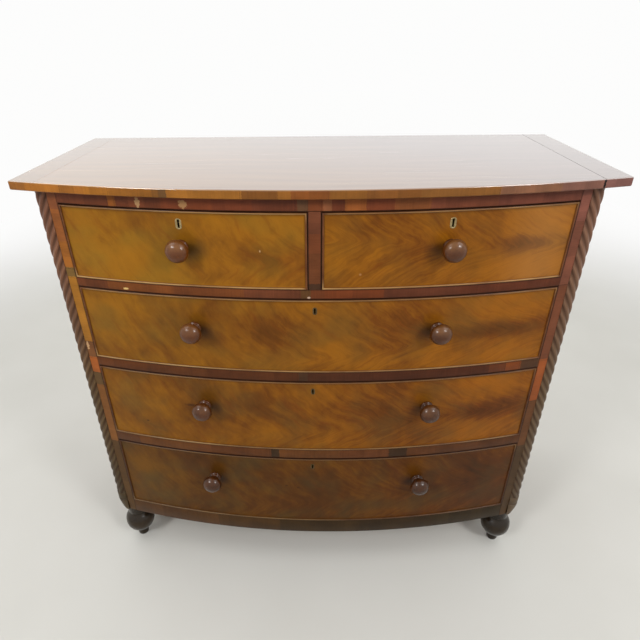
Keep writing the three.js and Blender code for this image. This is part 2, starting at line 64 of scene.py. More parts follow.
# Sizes of the frame that its boxes don't give
SEAT = 0.3 * MM                 # between pieces that touch
FACE_INSET = 1 * MM             # drawer face behind the rails
DRAWER_TOP_GAP = 2 * MM
TOP_SIDE_OVERHANG = 33 * MM     # past the columns
TOP_FRONT_OVERHANG = 25 * MM    # past the middle of the front
TOP_TIP_OVERHANG = 12 * MM      # past the front of the columns
TOP_ARRIS = 1.4 * MM
COLUMN_RADIUS = 21 * MM
COLUMN_PROUD = 5 * MM           # ahead of the bow
COLUMN_BACK = 15 * MM           # from its axis to the side behind it
ROPE_TURN = 224 * MM            # rise of one full turn of a strand
ROPE_STRANDS = 8
ROPE_GROOVE = 2.5 * MM
BLOCK_RADIUS = 21.7 * MM
BLOCK_HEIGHT = 64 * MM
BLOCK_TAPER_HEIGHT = 37 * MM
BLOCK_TAPER = 10 * MM           # how far the foot of the block is drawn in
BLOCK_GROOVE_LEVEL = 41 * MM
BLOCK_GROOVE = 2.4 * MM
KEYHOLE_DROP = 29 * MM          # below the top of the opening
KEYHOLE_SHIFTS = {"drawer_middle": -5 * MM, "drawer_lower": -7 * MM}
KNOB_RADIUS = 24 * MM
KNOB_REACH = 45 * MM
LONG_KNOB_SHARE = 0.505         # place of a knob, of half the opening

# Steps of the curved pieces
BOW_STEP = 12 * MM
SHEET_STEPS = (10 * MM, 22 * MM)
ROPE_STEP = 3.5 * MM
STRAND_POINTS = 14
BLOCK_SIDES = 56
KNOB_SIDES = 48
FOOT_SIDES = 56
KEYHOLE_POINTS = 48


class Bow:
    """The curve that every bowed surface of the front follows, seen from above."""

    def __init__(self):
        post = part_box("corner_post_left")
        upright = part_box("centre_division")
        end_x, end_y = post[1].x, post[0].y
        middle_x, middle_y = upright[1].x, upright[0].y
        across = end_x**2 - middle_x**2
        self.centre = (end_y**2 - middle_y**2 + across) / (2 * (end_y - middle_y))
        self.radius = math.hypot(middle_x, self.centre - middle_y)
        self.half_opening = abs(end_x)

    def y(self, x, ahead=0.0):
        """Depth of the surface at x, or of one that stands ahead of it."""
        return self.centre - math.sqrt((self.radius + ahead) ** 2 - x * x)

    def frame_at(self, x, z, ahead=0.0):
        """A place on the front whose own -Y points straight out of the bow."""
        turned = Matrix.Rotation(math.asin(x / self.radius), 4, "Z")
        return Matrix.Translation((x, self.y(x, ahead), z)) @ turned


BOW = Bow()
HALF_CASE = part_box("top_board")[1].x - TOP_SIDE_OVERHANG


# Finishes. Noise is scaled by its features per metre; tones run from 0, dark, to 1, pale

def paint(colour, *scales):
    """A colour as nodes take it, from six hex digits or from numbers, made lighter or darker."""
    if isinstance(colour, str):
        parts = [int(colour[i:i + 2], 16) / 255 for i in (0, 2, 4)]
        colour = [c / 12.92 if c <= 0.04045 else ((c + 0.055) / 1.055) ** 2.4 for c in parts]
    if len(scales) < 3:
        scales = (scales or (1.0,)) * 3
    return (*[c * k for c, k in zip(colour, scales)], 1.0)


class Value:
    """What a node gives; sums, products and powers of it become further nodes."""

    def __init__(self, nodes, socket):
        self.nodes, self.socket = nodes, socket

    def __add__(self, other):
        return self.nodes.calc("ADD", self, other)

    def __sub__(self, other):
        return self.nodes.calc("SUBTRACT", self, other)

    def __rsub__(self, other):
        return self.nodes.calc("SUBTRACT", other, self)

    def __mul__(self, other):
        return self.nodes.calc("MULTIPLY", self, other)

    def __truediv__(self, other):
        return self.nodes.calc("DIVIDE", self, other)

    def __pow__(self, other):
        return self.nodes.calc("POWER", self, other)

    def __abs__(self):
        return self.nodes.calc("ABSOLUTE", self)

    __radd__, __rmul__ = __add__, __mul__

    def root(self):
        return self.nodes.calc("SQRT", self)

    def swing(self, amount):
        """Noise turned into a change either way, amount in all."""
        return (self - 0.5) * amount

    def span(self, low, high, to_low=0.0, to_high=1.0, smooth=False):
        """The value from low to high, mapped to another span."""
        kind = "SMOOTHSTEP" if smooth else "LINEAR"
        inputs = dict(enumerate((self, low, high, to_low, to_high)))
        return self.nodes.give("ShaderNodeMapRange", inputs, interpolation_type=kind, clamp=True)


class Nodes:
    """The nodes of a finish or of the world, added one by one."""

    def __init__(self, tree):
        self.tree = tree

    def add(self, kind, inputs=None, **settings):
        """Adds a node with its settings and inputs, which go by name or number."""
        node = self.tree.nodes.new(kind)
        for name, value in settings.items():
            setattr(node, name, value)
        for key, value in (inputs or {}).items():
            self.feed(node.inputs[key], value)
        return node

    def give(self, kind, inputs, output=0, **settings):
        """Adds a node and gives one of its outputs."""
        return Value(self, self.add(kind, inputs, **settings).outputs[output])

    def feed(self, socket, value):
        """Joins a socket to a value, or sets it to a number or a colour."""
        if isinstance(value, Value):
            self.tree.links.new(value.socket, socket)
        else:
            socket.default_value = paint(value) if isinstance(value, str) else value

    def calc(self, operation, *values):
        return self.give("ShaderNodeMath", dict(enumerate(values)), operation=operation)

    def seen(self):
        """1 where a ray comes from the camera, a mirroring surface or glass."""
        outputs = self.add("ShaderNodeLightPath").outputs
        camera, glossy, through = (
            Value(self, outputs[f"Is {kind} Ray"]) for kind in ("Camera", "Glossy", "Transmission")
        )
        return self.calc("MAXIMUM", self.calc("MAXIMUM", camera, glossy), through)


class Finish(Nodes):
    """A finish whose figure is laid out in the metres of the frame."""

    def __init__(self, name):
        self.material = bpy.data.materials.new(name)
        self.material.use_nodes = True
        super().__init__(self.material.node_tree)
        self.tree.nodes.clear()
        self.shader = self.add("ShaderNodeBsdfPrincipled")
        self.output = self.add("ShaderNodeOutputMaterial")
        self.cover(Value(self, self.shader.outputs["BSDF"]))
        self.place = self.give("ShaderNodeTexCoord", {}, "Object")
        self.x, self.y, self.z = self.parts(self.place)

    def cover(self, surface):
        self.feed(self.output.inputs["Surface"], surface)

    def parts(self, vector):
        """The x, y and z of a vector."""
        node = self.add("ShaderNodeSeparateXYZ", {0: vector})
        return [Value(self, part) for part in node.outputs]

    def vector(self, x, y, z):
        return self.give("ShaderNodeCombineXYZ", {0: x, 1: y, 2: z})

    def warped(self, vector, noise, reach):
        """A vector pushed about by coloured noise."""
        return self.give(
            "ShaderNodeVectorMath", {0: noise, 1: reach, 2: vector}, operation="MULTIPLY_ADD",
        )

    def noise(self, scales, detail=2.0, roughness=0.5, distortion=0.0, source=None, colour=False):
        """Noise over the place or another source scaled along each axis, or over a vector."""
        if not isinstance(scales, Value):
            scaled = {0: source or self.place, 1: tuple(scales)}
            scales = self.give("ShaderNodeVectorMath", scaled, operation="MULTIPLY")
        inputs = {
            "Vector": scales, "Scale": 1.0, "Detail": detail, "Roughness": roughness,
            "Distortion": distortion,
        }
        return self.give("ShaderNodeTexNoise", inputs, "Color" if colour else "Fac")

    def attribute(self, name):
        """A number that each point of the mesh carries."""
        return self.give("ShaderNodeAttribute", {}, "Fac", attribute_name=name)

    def mix(self, factor, first, second, blend="MIX"):
        inputs = {0: factor, 6: first, 7: second}
        return self.give("ShaderNodeMix", inputs, 2, data_type="RGBA", blend_type=blend)

    def brightened(self, colour, brightness):
        return self.give("ShaderNodeHueSaturation", {"Value": brightness, "Color": colour})

    def ramp(self, value, *stops, steps=False):
        """Colours in a row, given as (position, colour)."""
        node = self.add("ShaderNodeValToRGB", {0: value})
        band = node.color_ramp
        band.interpolation = "CONSTANT" if steps else "LINEAR"
        while len(band.elements) < len(stops):
            band.elements.new(0.5)
        for element, (position, _) in zip(band.elements, stops):
            element.position = position
        for element, (_, colour) in zip(band.elements, stops):
            element.color = paint(colour)
        return Value(self, node.outputs[0])

    def spot(self, across, up, middle, reach):
        """1 at the middle of a soft oval, 0 beyond its reach."""
        a, b = (across - middle[0]) / reach[0], (up - middle[1]) / reach[1]
        return (a * a + b * b).root().span(0.0, 1.0, 1.0, 0.0, smooth=True)

    def finish(self, colour, rough, bump=None, depth=0.1 * MM, strength=0.5,
               specular=0.5, coat=(), **more):
        """Sets the shader, with relief where bump is given. A coat is (weight, roughness, IOR)."""
        values = {"Base Color": colour, "Roughness": rough, "Specular IOR Level": specular}
        values |= zip(("Coat Weight", "Coat Roughness", "Coat IOR"), coat)
        values |= {name.replace("_", " "): value for name, value in more.items()}
        if bump is not None:
            relief = {"Strength": strength, "Distance": depth, "Height": bump}
            values["Normal"] = self.give("ShaderNodeBump", relief, "Normal")
        for name, value in values.items():
            self.feed(self.shader.inputs[name], value)
        return self.material


FIGURE_LIFT = 27.5 * MM         # what the warp of a flame veneer adds to a height
FIGURE_SIZE = 80 * MM           # reach of the feathers above and below the spine


def flame_flow(f, low, high, look):
    """The place along the feathers of a flame veneer, and the warped x and z."""
    wander = f.noise((6.0, 0.0, 8.0), 3.0, 0.6, colour=True)
    shifted = f.warped(f.place, wander, (0.07, 0.0, 0.045))
    ripple = f.noise((55.0, 0.0, 40.0), colour=True)
    x, _, z = f.parts(f.warped(shifted, ripple, (0.008, 0.0, 0.006)))
    along = f.x.span(*look["ends"], smooth=True)
    spine = along.span(0.0, 1.0, *(low + share * (high - low) for share in look["spine"]))
    off = (z - FIGURE_LIFT - spine) / FIGURE_SIZE
    fan = (off * off + 0.003).root() ** look["fan"] * FIGURE_SIZE
    steeper = off.span(-0.2, 0.2, look["below"], 1.0)
    return fan * along.span(0.0, 1.0, *look["lean"]) * steeper + x, x, z


def flame_veneer(name, low, high, look):
    """Figured veneer of one drawer: feathers that lie along a soft dark spine."""
    colours = bpy.context.scene.chest_colours
    f = Finish(name)
    seed, height = look["seed"], high - low
    flow, x, z = flame_flow(f, low, high, look)

    def streaks(across, up, detail, roughness=0.55):
        return f.noise(f.vector(flow * across, seed, z * up), detail, roughness)

    def spot(middle, reach):
        return f.spot(f.x, f.z, (middle[0], low + middle[1] * height), reach)

    # Tone of the figure, from dark to pale
    broad = streaks(32.0, 13.0, 2.0)
    fine = streaks(100.0, 26.0, 3.0, 0.6)
    hair = streaks(480.0, 80.0, 2.0)
    mottle = f.noise((38.0, 0.0, 26.0), 3.0, 0.6)
    lively = f.x.span(-0.35, 0.25, 0.5, look["strength"], smooth=True)
    cloud = f.noise(f.vector(x * 7.0, seed, z * 9.0))
    tone = look["tone"] + broad.swing(0.36) + (fine.swing(0.32) + hair.swing(0.09)) * lively
    tone = tone + mottle.swing(0.34) + cloud.swing(0.50)
    for middle, (across, up), amount in look["clouds"]:
        tone = tone + spot(middle, (across, up * height)) * amount

    # Colours of the wood
    gold = paint(colours.gold_veneer, *look["light"])
    brown = paint(colours.brown_veneer, *look["light"])
    dark, pale = paint(brown, 0.45), paint(gold, 1.25)
    colour = f.ramp(tone, (0.1, dark), (0.38, brown), (0.62, gold), (0.92, pale))
    olive = f.noise((8.0, 0.0, 11.0)).span(0.46, 0.68, 0.0, look["green"])
    colour = f.mix(olive, colour, look["cast"])
    reddish = streaks(60.0, 16.0, 2.0).span(0.54, 0.72, smooth=True)
    colour = f.mix(reddish * 0.3, colour, paint(brown, 1.15, 0.82, 0.8))
    grain = streaks(1300.0, 90.0, 1.0)
    colour = f.mix(grain.span(0.62, 0.72) * 0.22, colour, dark)
    redder = f.mix(f.x.span(-0.4, 0.35), (1.0, 1.05, 1.0, 1.0), (1.0, 0.88, 0.9, 1.0))
    colour = f.mix(1.0, colour, redder, "MULTIPLY")

    # Painted shade with dirt under the top bead and beside the sides, a paler lower edge, and
    # marks: stains, painted shadow with grime round the knobs, a painted sheen
    left, right = look["ends"]
    # Painted shade, with some dirt: darker beside the side beads and under the top bead
    side = f.calc("MINIMUM", f.x - left, right - f.x).span(3 * MM, 8 * MM, 0.35, 0.0, smooth=True)
    under_bead = (high - f.z).span(4 * MM, 11 * MM, 0.45, 0.0, smooth=True)
    colour = f.mix(f.calc("MAXIMUM", under_bead, side), colour, dark)
    # Paler along the lower edge of the front
    rubbed = (f.z - low).span(3 * MM, 9 * MM, look["rubbed"], 0.0, smooth=True)
    colour = f.mix(rubbed, colour, paint(pale, 1.1, 1.2, 2.2))
    # Dark marks: stains, and round the knobs painted shadow with grime; pale marks: small spots,
    # and a painted sheen
    for middle, reach, amount in look["marks"]:
        mark = spot(middle, reach) * abs(amount)
        colour = f.mix(mark, colour, "1d120b" if amount > 0 else "cda877")

    relief = f.noise((16.0, 0.0, 22.0), 1.0) * 1.6 + grain * -0.25 + fine * 0.2
    rough = 0.42 + cloud.swing(0.14) + hair.swing(0.08)
    return f.finish(colour, rough, relief, 0.12 * MM, 0.6, specular=0.12, coat=(0.05, 0.25))


def banded_veneer(name, axis, bands, shade_and_grime=(), polish=0.06, seed=0.0):
    """Short lengths of veneer side by side, with their grain across the piece."""
    f = Finish(name)
    sections = bands["sections"]
    along, up = (f.x, f.z) if axis == "x" else (f.z, f.x)
    along = along + f.noise((500.0, 500.0, 500.0)).swing(5 * MM)
    low, high = sections[0][0], sections[-1][0]
    stops = [((start - low) / (high - low), code) for start, code in sections[:-1]]
    colour = f.ramp(along.span(low, high), *stops, steps=True)
    cell = f.calc("FLOOR", along * 31.0 + (30.3 + seed))
    leaf = f.give("ShaderNodeTexWhiteNoise", {"W": cell}, noise_dimensions="1D")
    fibre = f.noise((420.0, 40.0, 14.0) if axis == "x" else (30.0, 30.0, 420.0), 3.0, 0.6)
    patch = f.noise((24.0, 10.0, 30.0), 3.0)
    bright = 1.0 + leaf.swing(0.24) + fibre.swing(0.45) + patch.swing(0.8)
    colour = f.brightened(colour, bright)
    # Painted shade, with grime, along the given edges
    for level, reach, amount in shade_and_grime:
        near = abs(up - level).span(0.3 * reach, reach, amount, 0.0, smooth=True)
        colour = f.mix(near, colour, "2e170a")
    for place in bands.get("joints", ()):
        line = abs(along - place).span(0.2 * MM, 0.9 * MM, 0.4, 0.0)
        colour = f.mix(line, colour, "1a0e09")
    for middle, reach, code in bands.get("chips", ()):
        ragged = f.noise((230.0, 60.0, 230.0), 3.0, 0.7).swing(1.5)
        chip = f.spot(along, up, middle, reach) + ragged
        colour = f.mix(chip.span(0.42, 0.52), colour, code)
    rough = 0.38 + patch.swing(0.16) + fibre.swing(0.10)
    relief = fibre + patch * 1.5
    return f.finish(colour, rough, relief, specular=0.12, coat=(polish, 0.2))


def bead_wood(name):
    """The cock beads: pale crests of wear and painted highlight, painted shadow with dirt on their
    outer side, painted shade towards the floor.
    """
    f = Finish(name)
    crest = f.attribute("crest")
    fibre = f.noise((40.0, 40.0, 40.0), 4.0, 0.6)
    colour = f.ramp(fibre, (0.3, "552f18"), (0.7, "764723"))
    # Pale crests: wear and painted highlight, paler at the left and less on the lowest drawer's
    # right
    wear_and_sheen = f.noise((5.0, 5.0, 9.0), 4.0, 0.65) + f.x.span(-0.5, 0.3, 0.08, -0.03)
    rubbed = crest.span(0.2, 0.9) * wear_and_sheen.span(0.36, 0.66, 0.2, 0.95)
    dull = f.z.span(0.25, 0.35, 0.6, 0.0) * f.x.span(-0.05, 0.15)
    colour = f.mix(rubbed * (1.0 - dull), colour, "b08b56")
    # Painted shadow, with dirt, on the outer side of the bead by the gap
    colour = f.mix(crest.span(-1.0, 0.0, 0.75, 0.0), colour, "2e170a")
    # Painted shade: darker towards the floor
    lower = f.z.span(0.15, 0.9, 0.38, 1.0)
    colour = f.mix(1.0, colour, f.vector(lower, lower, lower), "MULTIPLY")
    rough = 0.38 + fibre.swing(0.14)
    return f.finish(colour, rough, fibre, 0.05 * MM, specular=0.16, coat=(0.1, 0.2))


def plain_mahogany(name, dark, light, fibres=(26.0, 26.0, 1.6), rough=0.36):
    """Straight-grained mahogany, its grain along the axis with the least scale."""
    f = Finish(name)
    wander = f.noise([s * 0.35 for s in fibres])
    lines = f.noise([s * 9.0 for s in fibres], 4.0, 0.62, 0.25)
    bands = f.noise(fibres, 3.0, 0.5, 0.6)
    tone = 0.5 + bands.swing(0.85) + lines.swing(0.75) + wander.swing(0.4)
    colour = f.ramp(tone, (0.1, dark), (0.9, light))
    pores = f.noise([s * 40.0 for s in fibres], 1.0).span(0.6, 0.7)
    colour = f.mix(pores * 0.4, colour, "1c0f09")
    roughness = rough + bands.swing(0.14) + pores * 0.1
    relief = lines + pores * -0.8
    return f.finish(colour, roughness, relief, 0.12 * MM, specular=0.04, coat=(0.05, 0.2))


def top_veneer(name, joint):
    """The polished upper side of the top, whose end strips start at the joint."""
    f = Finish(name)
    shifted = f.warped(f.place, f.noise((1.6, 4.0, 1.0), colour=True), (0.0, 0.12, 0.0))
    bands = f.noise((2.2, 34.0, 1.0), 4.0, 0.55, source=shifted)
    lines = f.noise((9.0, 260.0, 1.0), 3.0, source=shifted)
    tone = 0.5 + bands.swing(0.7) + lines.swing(0.12)
    warm = f.ramp(tone, (0.1, "6e481c"), (0.55, "906320"), (0.95, "a97b2e"))
    cool = f.ramp(tone, (0.1, "58413b"), (0.55, "765a50"), (0.95, "8e7264"))
    colour = f.mix((f.y * 0.9 + f.x).span(-0.65, 0.35), warm, cool)
    strip = abs(f.x).span(joint - 0.1 * MM, joint + 0.1 * MM)
    across = f.noise((30.0, 300.0, 1.0), 3.0)
    colour = f.mix(strip * across.span(0.2, 0.8, 0.35, 0.0), colour, "4a2c1e")
    wear = f.noise((3.0, 5.0, 1.0), 4.0, 0.6)
    scratch = f.noise((4.0, 500.0, 1.0), 1.0, distortion=1.5)
    rough = 0.2 + wear.swing(0.14) + scratch.span(0.68, 0.74, 0.0, 0.08)
    relief = f.noise((7.0, 9.0, 1.0), 1.0) + lines * 0.01
    return f.finish(
        colour, rough, relief, 0.2 * MM, 0.4, coat=(1.0, 0.12, 1.8), Sheen_Weight=0.75,
        Sheen_Roughness=0.3,
    )


def rope_wood(name):
    """The twisted columns: polished ridges, pale crests of wear and painted highlight, painted
    shade in the valleys.
    """
    ridge = paint(bpy.context.scene.chest_colours.column_wood)
    f = Finish(name)
    valley = f.attribute("valley")
    fibre = f.noise((420.0, 420.0, 22.0), 3.0, 0.6)
    patch = f.noise((14.0, 14.0, 5.0), 3.0)
    height = f.z.span(0.15, 1.05)
    colour = f.ramp(height, (0.0, "3b2f1b"), (0.5, "523d23"), (0.72, ridge), (1.0, "7b503c"))
    colour = f.brightened(colour, 1.0 + fibre.swing(0.6) + patch.swing(1.2))
    colour = f.mix(f.x.span(0.0, 0.1, 0.0, 0.3), colour, "6d5a4b")
    # Painted shade in the valleys, deepest next to the post
    inner = abs(f.x).span(0.546, 0.572, 1.0, 0.35)
    colour = f.mix(valley.span(0.05, 0.8, 0.0, 0.75, smooth=True) * inner, colour, "3a2415")
    # Pale line along the crests: wear and painted highlight, stronger higher up
    line = valley.span(0.0, 0.06, 0.35, 0.0) * patch.span(0.35, 0.6, 0.3, 1.0)
    colour = f.mix(line * f.z.span(0.3, 0.9, 0.3, 1.0), colour, "94775a")
    rough = 0.36 + patch.swing(0.15) + valley.span(0.2, 1.0, 0.0, 0.3)
    return f.finish(colour, rough, fibre + patch, 0.12 * MM, specular=0.15, coat=(0.1, 0.22))


def turned_wood(name, base, wear_and_sheen, rough, coat, crest_paleness, gloom=1.0):
    """Turned wood, pale on its crests with wear and painted highlight; painted shade darkens it
    towards the floor, and it is darker towards the right.
    """
    f = Finish(name)
    fibre = f.noise((220.0, 60.0, 220.0), 3.0, 0.6)
    patch = f.noise((38.0, 30.0, 38.0), 4.0, 0.6)
    # Painted shade: darker towards the floor; also darker towards the right
    lit = f.z.span(0.25, 1.0, gloom, 1.0) * f.x.span(-0.25, 0.25, 1.03, 0.74)
    colour = f.brightened(paint(base), lit + fibre.swing(0.5) + patch.swing(0.8))
    # Pale crests: wear and painted highlight, weaker on the lower knobs
    rubbed = patch.span(0.30, 0.60, 0.4, 1.0) * f.attribute("crest").span(0.2, 1.0, smooth=True)
    rubbed = rubbed * f.z.span(0.3, 0.95, gloom**3 * crest_paleness, crest_paleness)
    colour = f.mix(rubbed, colour, wear_and_sheen)
    return f.finish(
        colour, rough + patch.swing(0.2), fibre + patch, 0.12 * MM, specular=0.1, coat=coat,
    )


def bare_wood(name, axis, pale, deep):
    """Unpolished boards inside the case, greyed and stained with age."""
    f = Finish(name)
    runs = {"x": (1.6, 26.0, 26.0), "y": (26.0, 1.6, 26.0), "z": (26.0, 26.0, 1.6)}[axis]
    bands = f.noise(runs, 3.0, 0.5, 0.8)
    lines = f.noise([s * 8.0 for s in runs], 4.0, 0.65)
    tone = 0.5 + bands.swing(0.9) + lines.swing(0.6)
    colour = f.ramp(tone, (0.1, deep), (0.9, pale))
    stain = f.noise((7.0, 7.0, 7.0), 4.0, 0.65)
    colour = f.mix(stain.span(0.5, 0.75, 0.0, 0.5), colour, "5b4630")
    return f.finish(colour, 0.72 + stain.swing(0.2), lines, 0.25 * MM, 0.6)


def old_brass(name, bright, dull):
    """Brass that has gone brown where no hand has kept it bright."""
    f = Finish(name)
    tarnish = f.noise((260.0, 260.0, 260.0), 4.0, 0.6)
    colour = f.ramp(tarnish, (0.35, bright), (0.7, dull))
    return f.finish(colour, tarnish.span(0.3, 0.75, 0.28, 0.6), tarnish, 0.05 * MM, Metallic=0.85)


# Shapes

def spread(low, high, step):
    """Evenly spaced numbers from low to high, about a step apart."""
    count = max(1, round((high - low) / step))
    return [low + (high - low) * i / count for i in range(count + 1)]


def quarter(steps):
    """Angles from 0 to a right angle."""
    return [math.pi / 2 * i / steps for i in range(steps + 1)]


def circle(radius, sides):
    """Points of a circle round the Z axis."""
    angles = [2 * math.pi * k / sides for k in range(sides)]
    return [Vector((radius * math.cos(a), radius * math.sin(a), 0)) for a in angles]


def rim(xs, zs):
    """Points round a rectangle, with the given steps along its sides."""
    points = [(x, zs[0]) for x in xs[:-1]] + [(xs[-1], z) for z in zs[:-1]]
    return points + [(x, zs[-1]) for x in xs[:0:-1]] + [(xs[0], z) for z in zs[:0:-1]]


def new_piece(name, shape, finishes, sharp=35.0, closed=True):
    """An object made of a bmesh, with smooth faces and sharp folds."""
    if closed:
        bmesh.ops.recalc_face_normals(shape, faces=shape.faces)
    mesh = bpy.data.meshes.new(name)
    shape.to_mesh(mesh)
    shape.free()
    mesh.polygons.foreach_set("use_smooth", [True] * len(mesh.polygons))
    mesh.set_sharp_from_angle(angle=math.radians(sharp))
    for finish in finishes:
        mesh.materials.append(finish)
    piece = bpy.data.objects.new(name, mesh)
    bpy.context.scene.collection.objects.link(piece)
    return piece


def hang(piece, body, slot, *stands_for):
    """Hangs a piece on what it rides on and hides the parts that it stands for; slot, the finish,
    is not used.
    """
    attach(piece, body)
    if stands_for:
        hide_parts(*stands_for)


def loft(shape, rings, lids=True, around=True):
    """Joins rings of points with faces; returns the rings' vertices."""
    made = [[shape.verts.new(point) for point in ring] for ring in rings]
    count = len(made[0])
    last = count if around else count - 1
    for low, high in zip(made, made[1:]):
        for i in range(last):
            j = (i + 1) % count
            shape.faces.new((low[i], low[j], high[j], high[i]))
    if lids:
        shape.faces.new(made[0][::-1])
        shape.faces.new(made[-1])
    return made


def flowing(points, steps):
    """A smooth line through points given as pairs."""
    line = []
    padded = [points[0], *points, points[-1]]
    for a, b, c, d in zip(padded, padded[1:], padded[2:], padded[3:]):
        for i in range(steps):
            t = i / steps
            line.append(tuple(
                0.5 * (2 * q + (r - p) * t + (2 * p - 5 * q + 4 * r - s) * t**2
                       + (3 * q - p - 3 * r + s) * t**3)
                for p, q, r, s in zip(a, b, c, d)
            ))
    line.append(points[-1])
    return line


def turn_up(shape, profile, sides, place, crests):
    """Turns a profile of (radius, height) pairs about the Z axis of a place."""
    layer = shape.verts.layers.float.new("crest")
    rings = []
    for (radius, height), crest in zip(profile, crests):
        points = circle(radius, sides) if radius > 0 else [Vector((0, 0, 0))]
        ring = [shape.verts.new(place @ (point + Vector((0, 0, height)))) for point in points]
        for vertex in ring:
            vertex[layer] = crest
        rings.append(ring)
    for low, high in zip(rings, rings[1:]):
        for k in range(sides):
            n = (k + 1) % sides
            if len(low) == 1:
                shape.faces.new((low[0], high[n], high[k]))
            elif len(high) == 1:
                shape.faces.new((low[k], low[n], high[0]))
            else:
                shape.faces.new((low[k], low[n], high[n], high[k]))
    return layer


def inset(outline, amounts):
    """A closed outline moved inwards, each edge by its own amount."""
    count = len(outline)
    lines = []
    for i, (start, amount) in enumerate(zip(outline, amounts)):
        along = (outline[(i + 1) % count] - start).normalized()
        lines.append((start + Vector((-along.y, along.x)) * amount, along))
    moved = []
    for i, corner in enumerate(outline):
        (p, d), (q, e) = lines[i - 1], lines[i]
        cross = d.x * e.y - d.y * e.x
        if abs(cross) < 1e-4:
            moved.append((p + d * (corner - p).dot(d) + q + e * (corner - q).dot(e)) / 2)
        else:
            moved.append(p + d * (((q.x - p.x) * e.y - (q.y - p.y) * e.x) / cross))
    return moved


def soften(node, width):
    """Takes the sharp edges off a node of the frame."""
    weld = node.modifiers.new("Weld", "WELD")
    weld.merge_threshold = 1e-5
    bevel = node.modifiers.new("Arris", "BEVEL")
    bevel.width = width
    bevel.segments = 2
    bevel.limit_method = "ANGLE"
    bevel.angle_limit = math.radians(40)
    bevel.use_clamp_overlap = True


def dress(name, finish, arris=0.0):
    """Gives a node of the frame its finish."""
    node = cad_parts[name]
    node.data.materials.clear()
    node.data.materials.append(finish)
    if arris:
        soften(node, arris)


# Sizes and colours that a user would change

def length(name, description, default):
    return bpy.props.FloatProperty(
        name=name, description=description, default=default, min=0.0, unit="LENGTH",
        subtype="DISTANCE", precision=4,
    )


def colour(name, description, code):
    return bpy.props.FloatVectorProperty(
        name=name, description=description, default=paint(code)[:3], size=3, min=0.0, max=1.0,
        subtype="COLOR",
    )


class ChestSizes(bpy.types.PropertyGroup):
    """Sizes of the pieces that the frame leaves to the looks."""

    top_arris: length("Top arris", "Rounding of the edge of the top", 2.6 * MM)
    end_strip: length("End strip", "Width of the strip at each end of the top", 60 * MM)
    bead_width: length("Bead width", "Width of the cock bead round a drawer", 4.1 * MM)
    bead_proud: length("Bead height", "How far the bead stands ahead of the veneer", 3.0 * MM)
    case_arris: length("Case arris", "Rounding of the edges of the case", 0.6 * MM)
    lining_proud: length("Lining height", "How far a keyhole lining stands out", 0.6 * MM)


class ChestColours(bpy.types.PropertyGroup):
    """Colours of the woods."""

    gold_veneer: colour("Light veneer", "Light streaks of the drawer fronts", "925e10")
    brown_veneer: colour("Brown veneer", "Darker streaks of the drawer fronts", "70420c")
    column_wood: colour("Column wood", "Ridges of the rope twist", "6d4a33")
    knob_wood: colour("Knob wood", "Turned knobs", "5a2d08")
    foot_wood: colour("Foot wood", "Turned feet", "241b10")


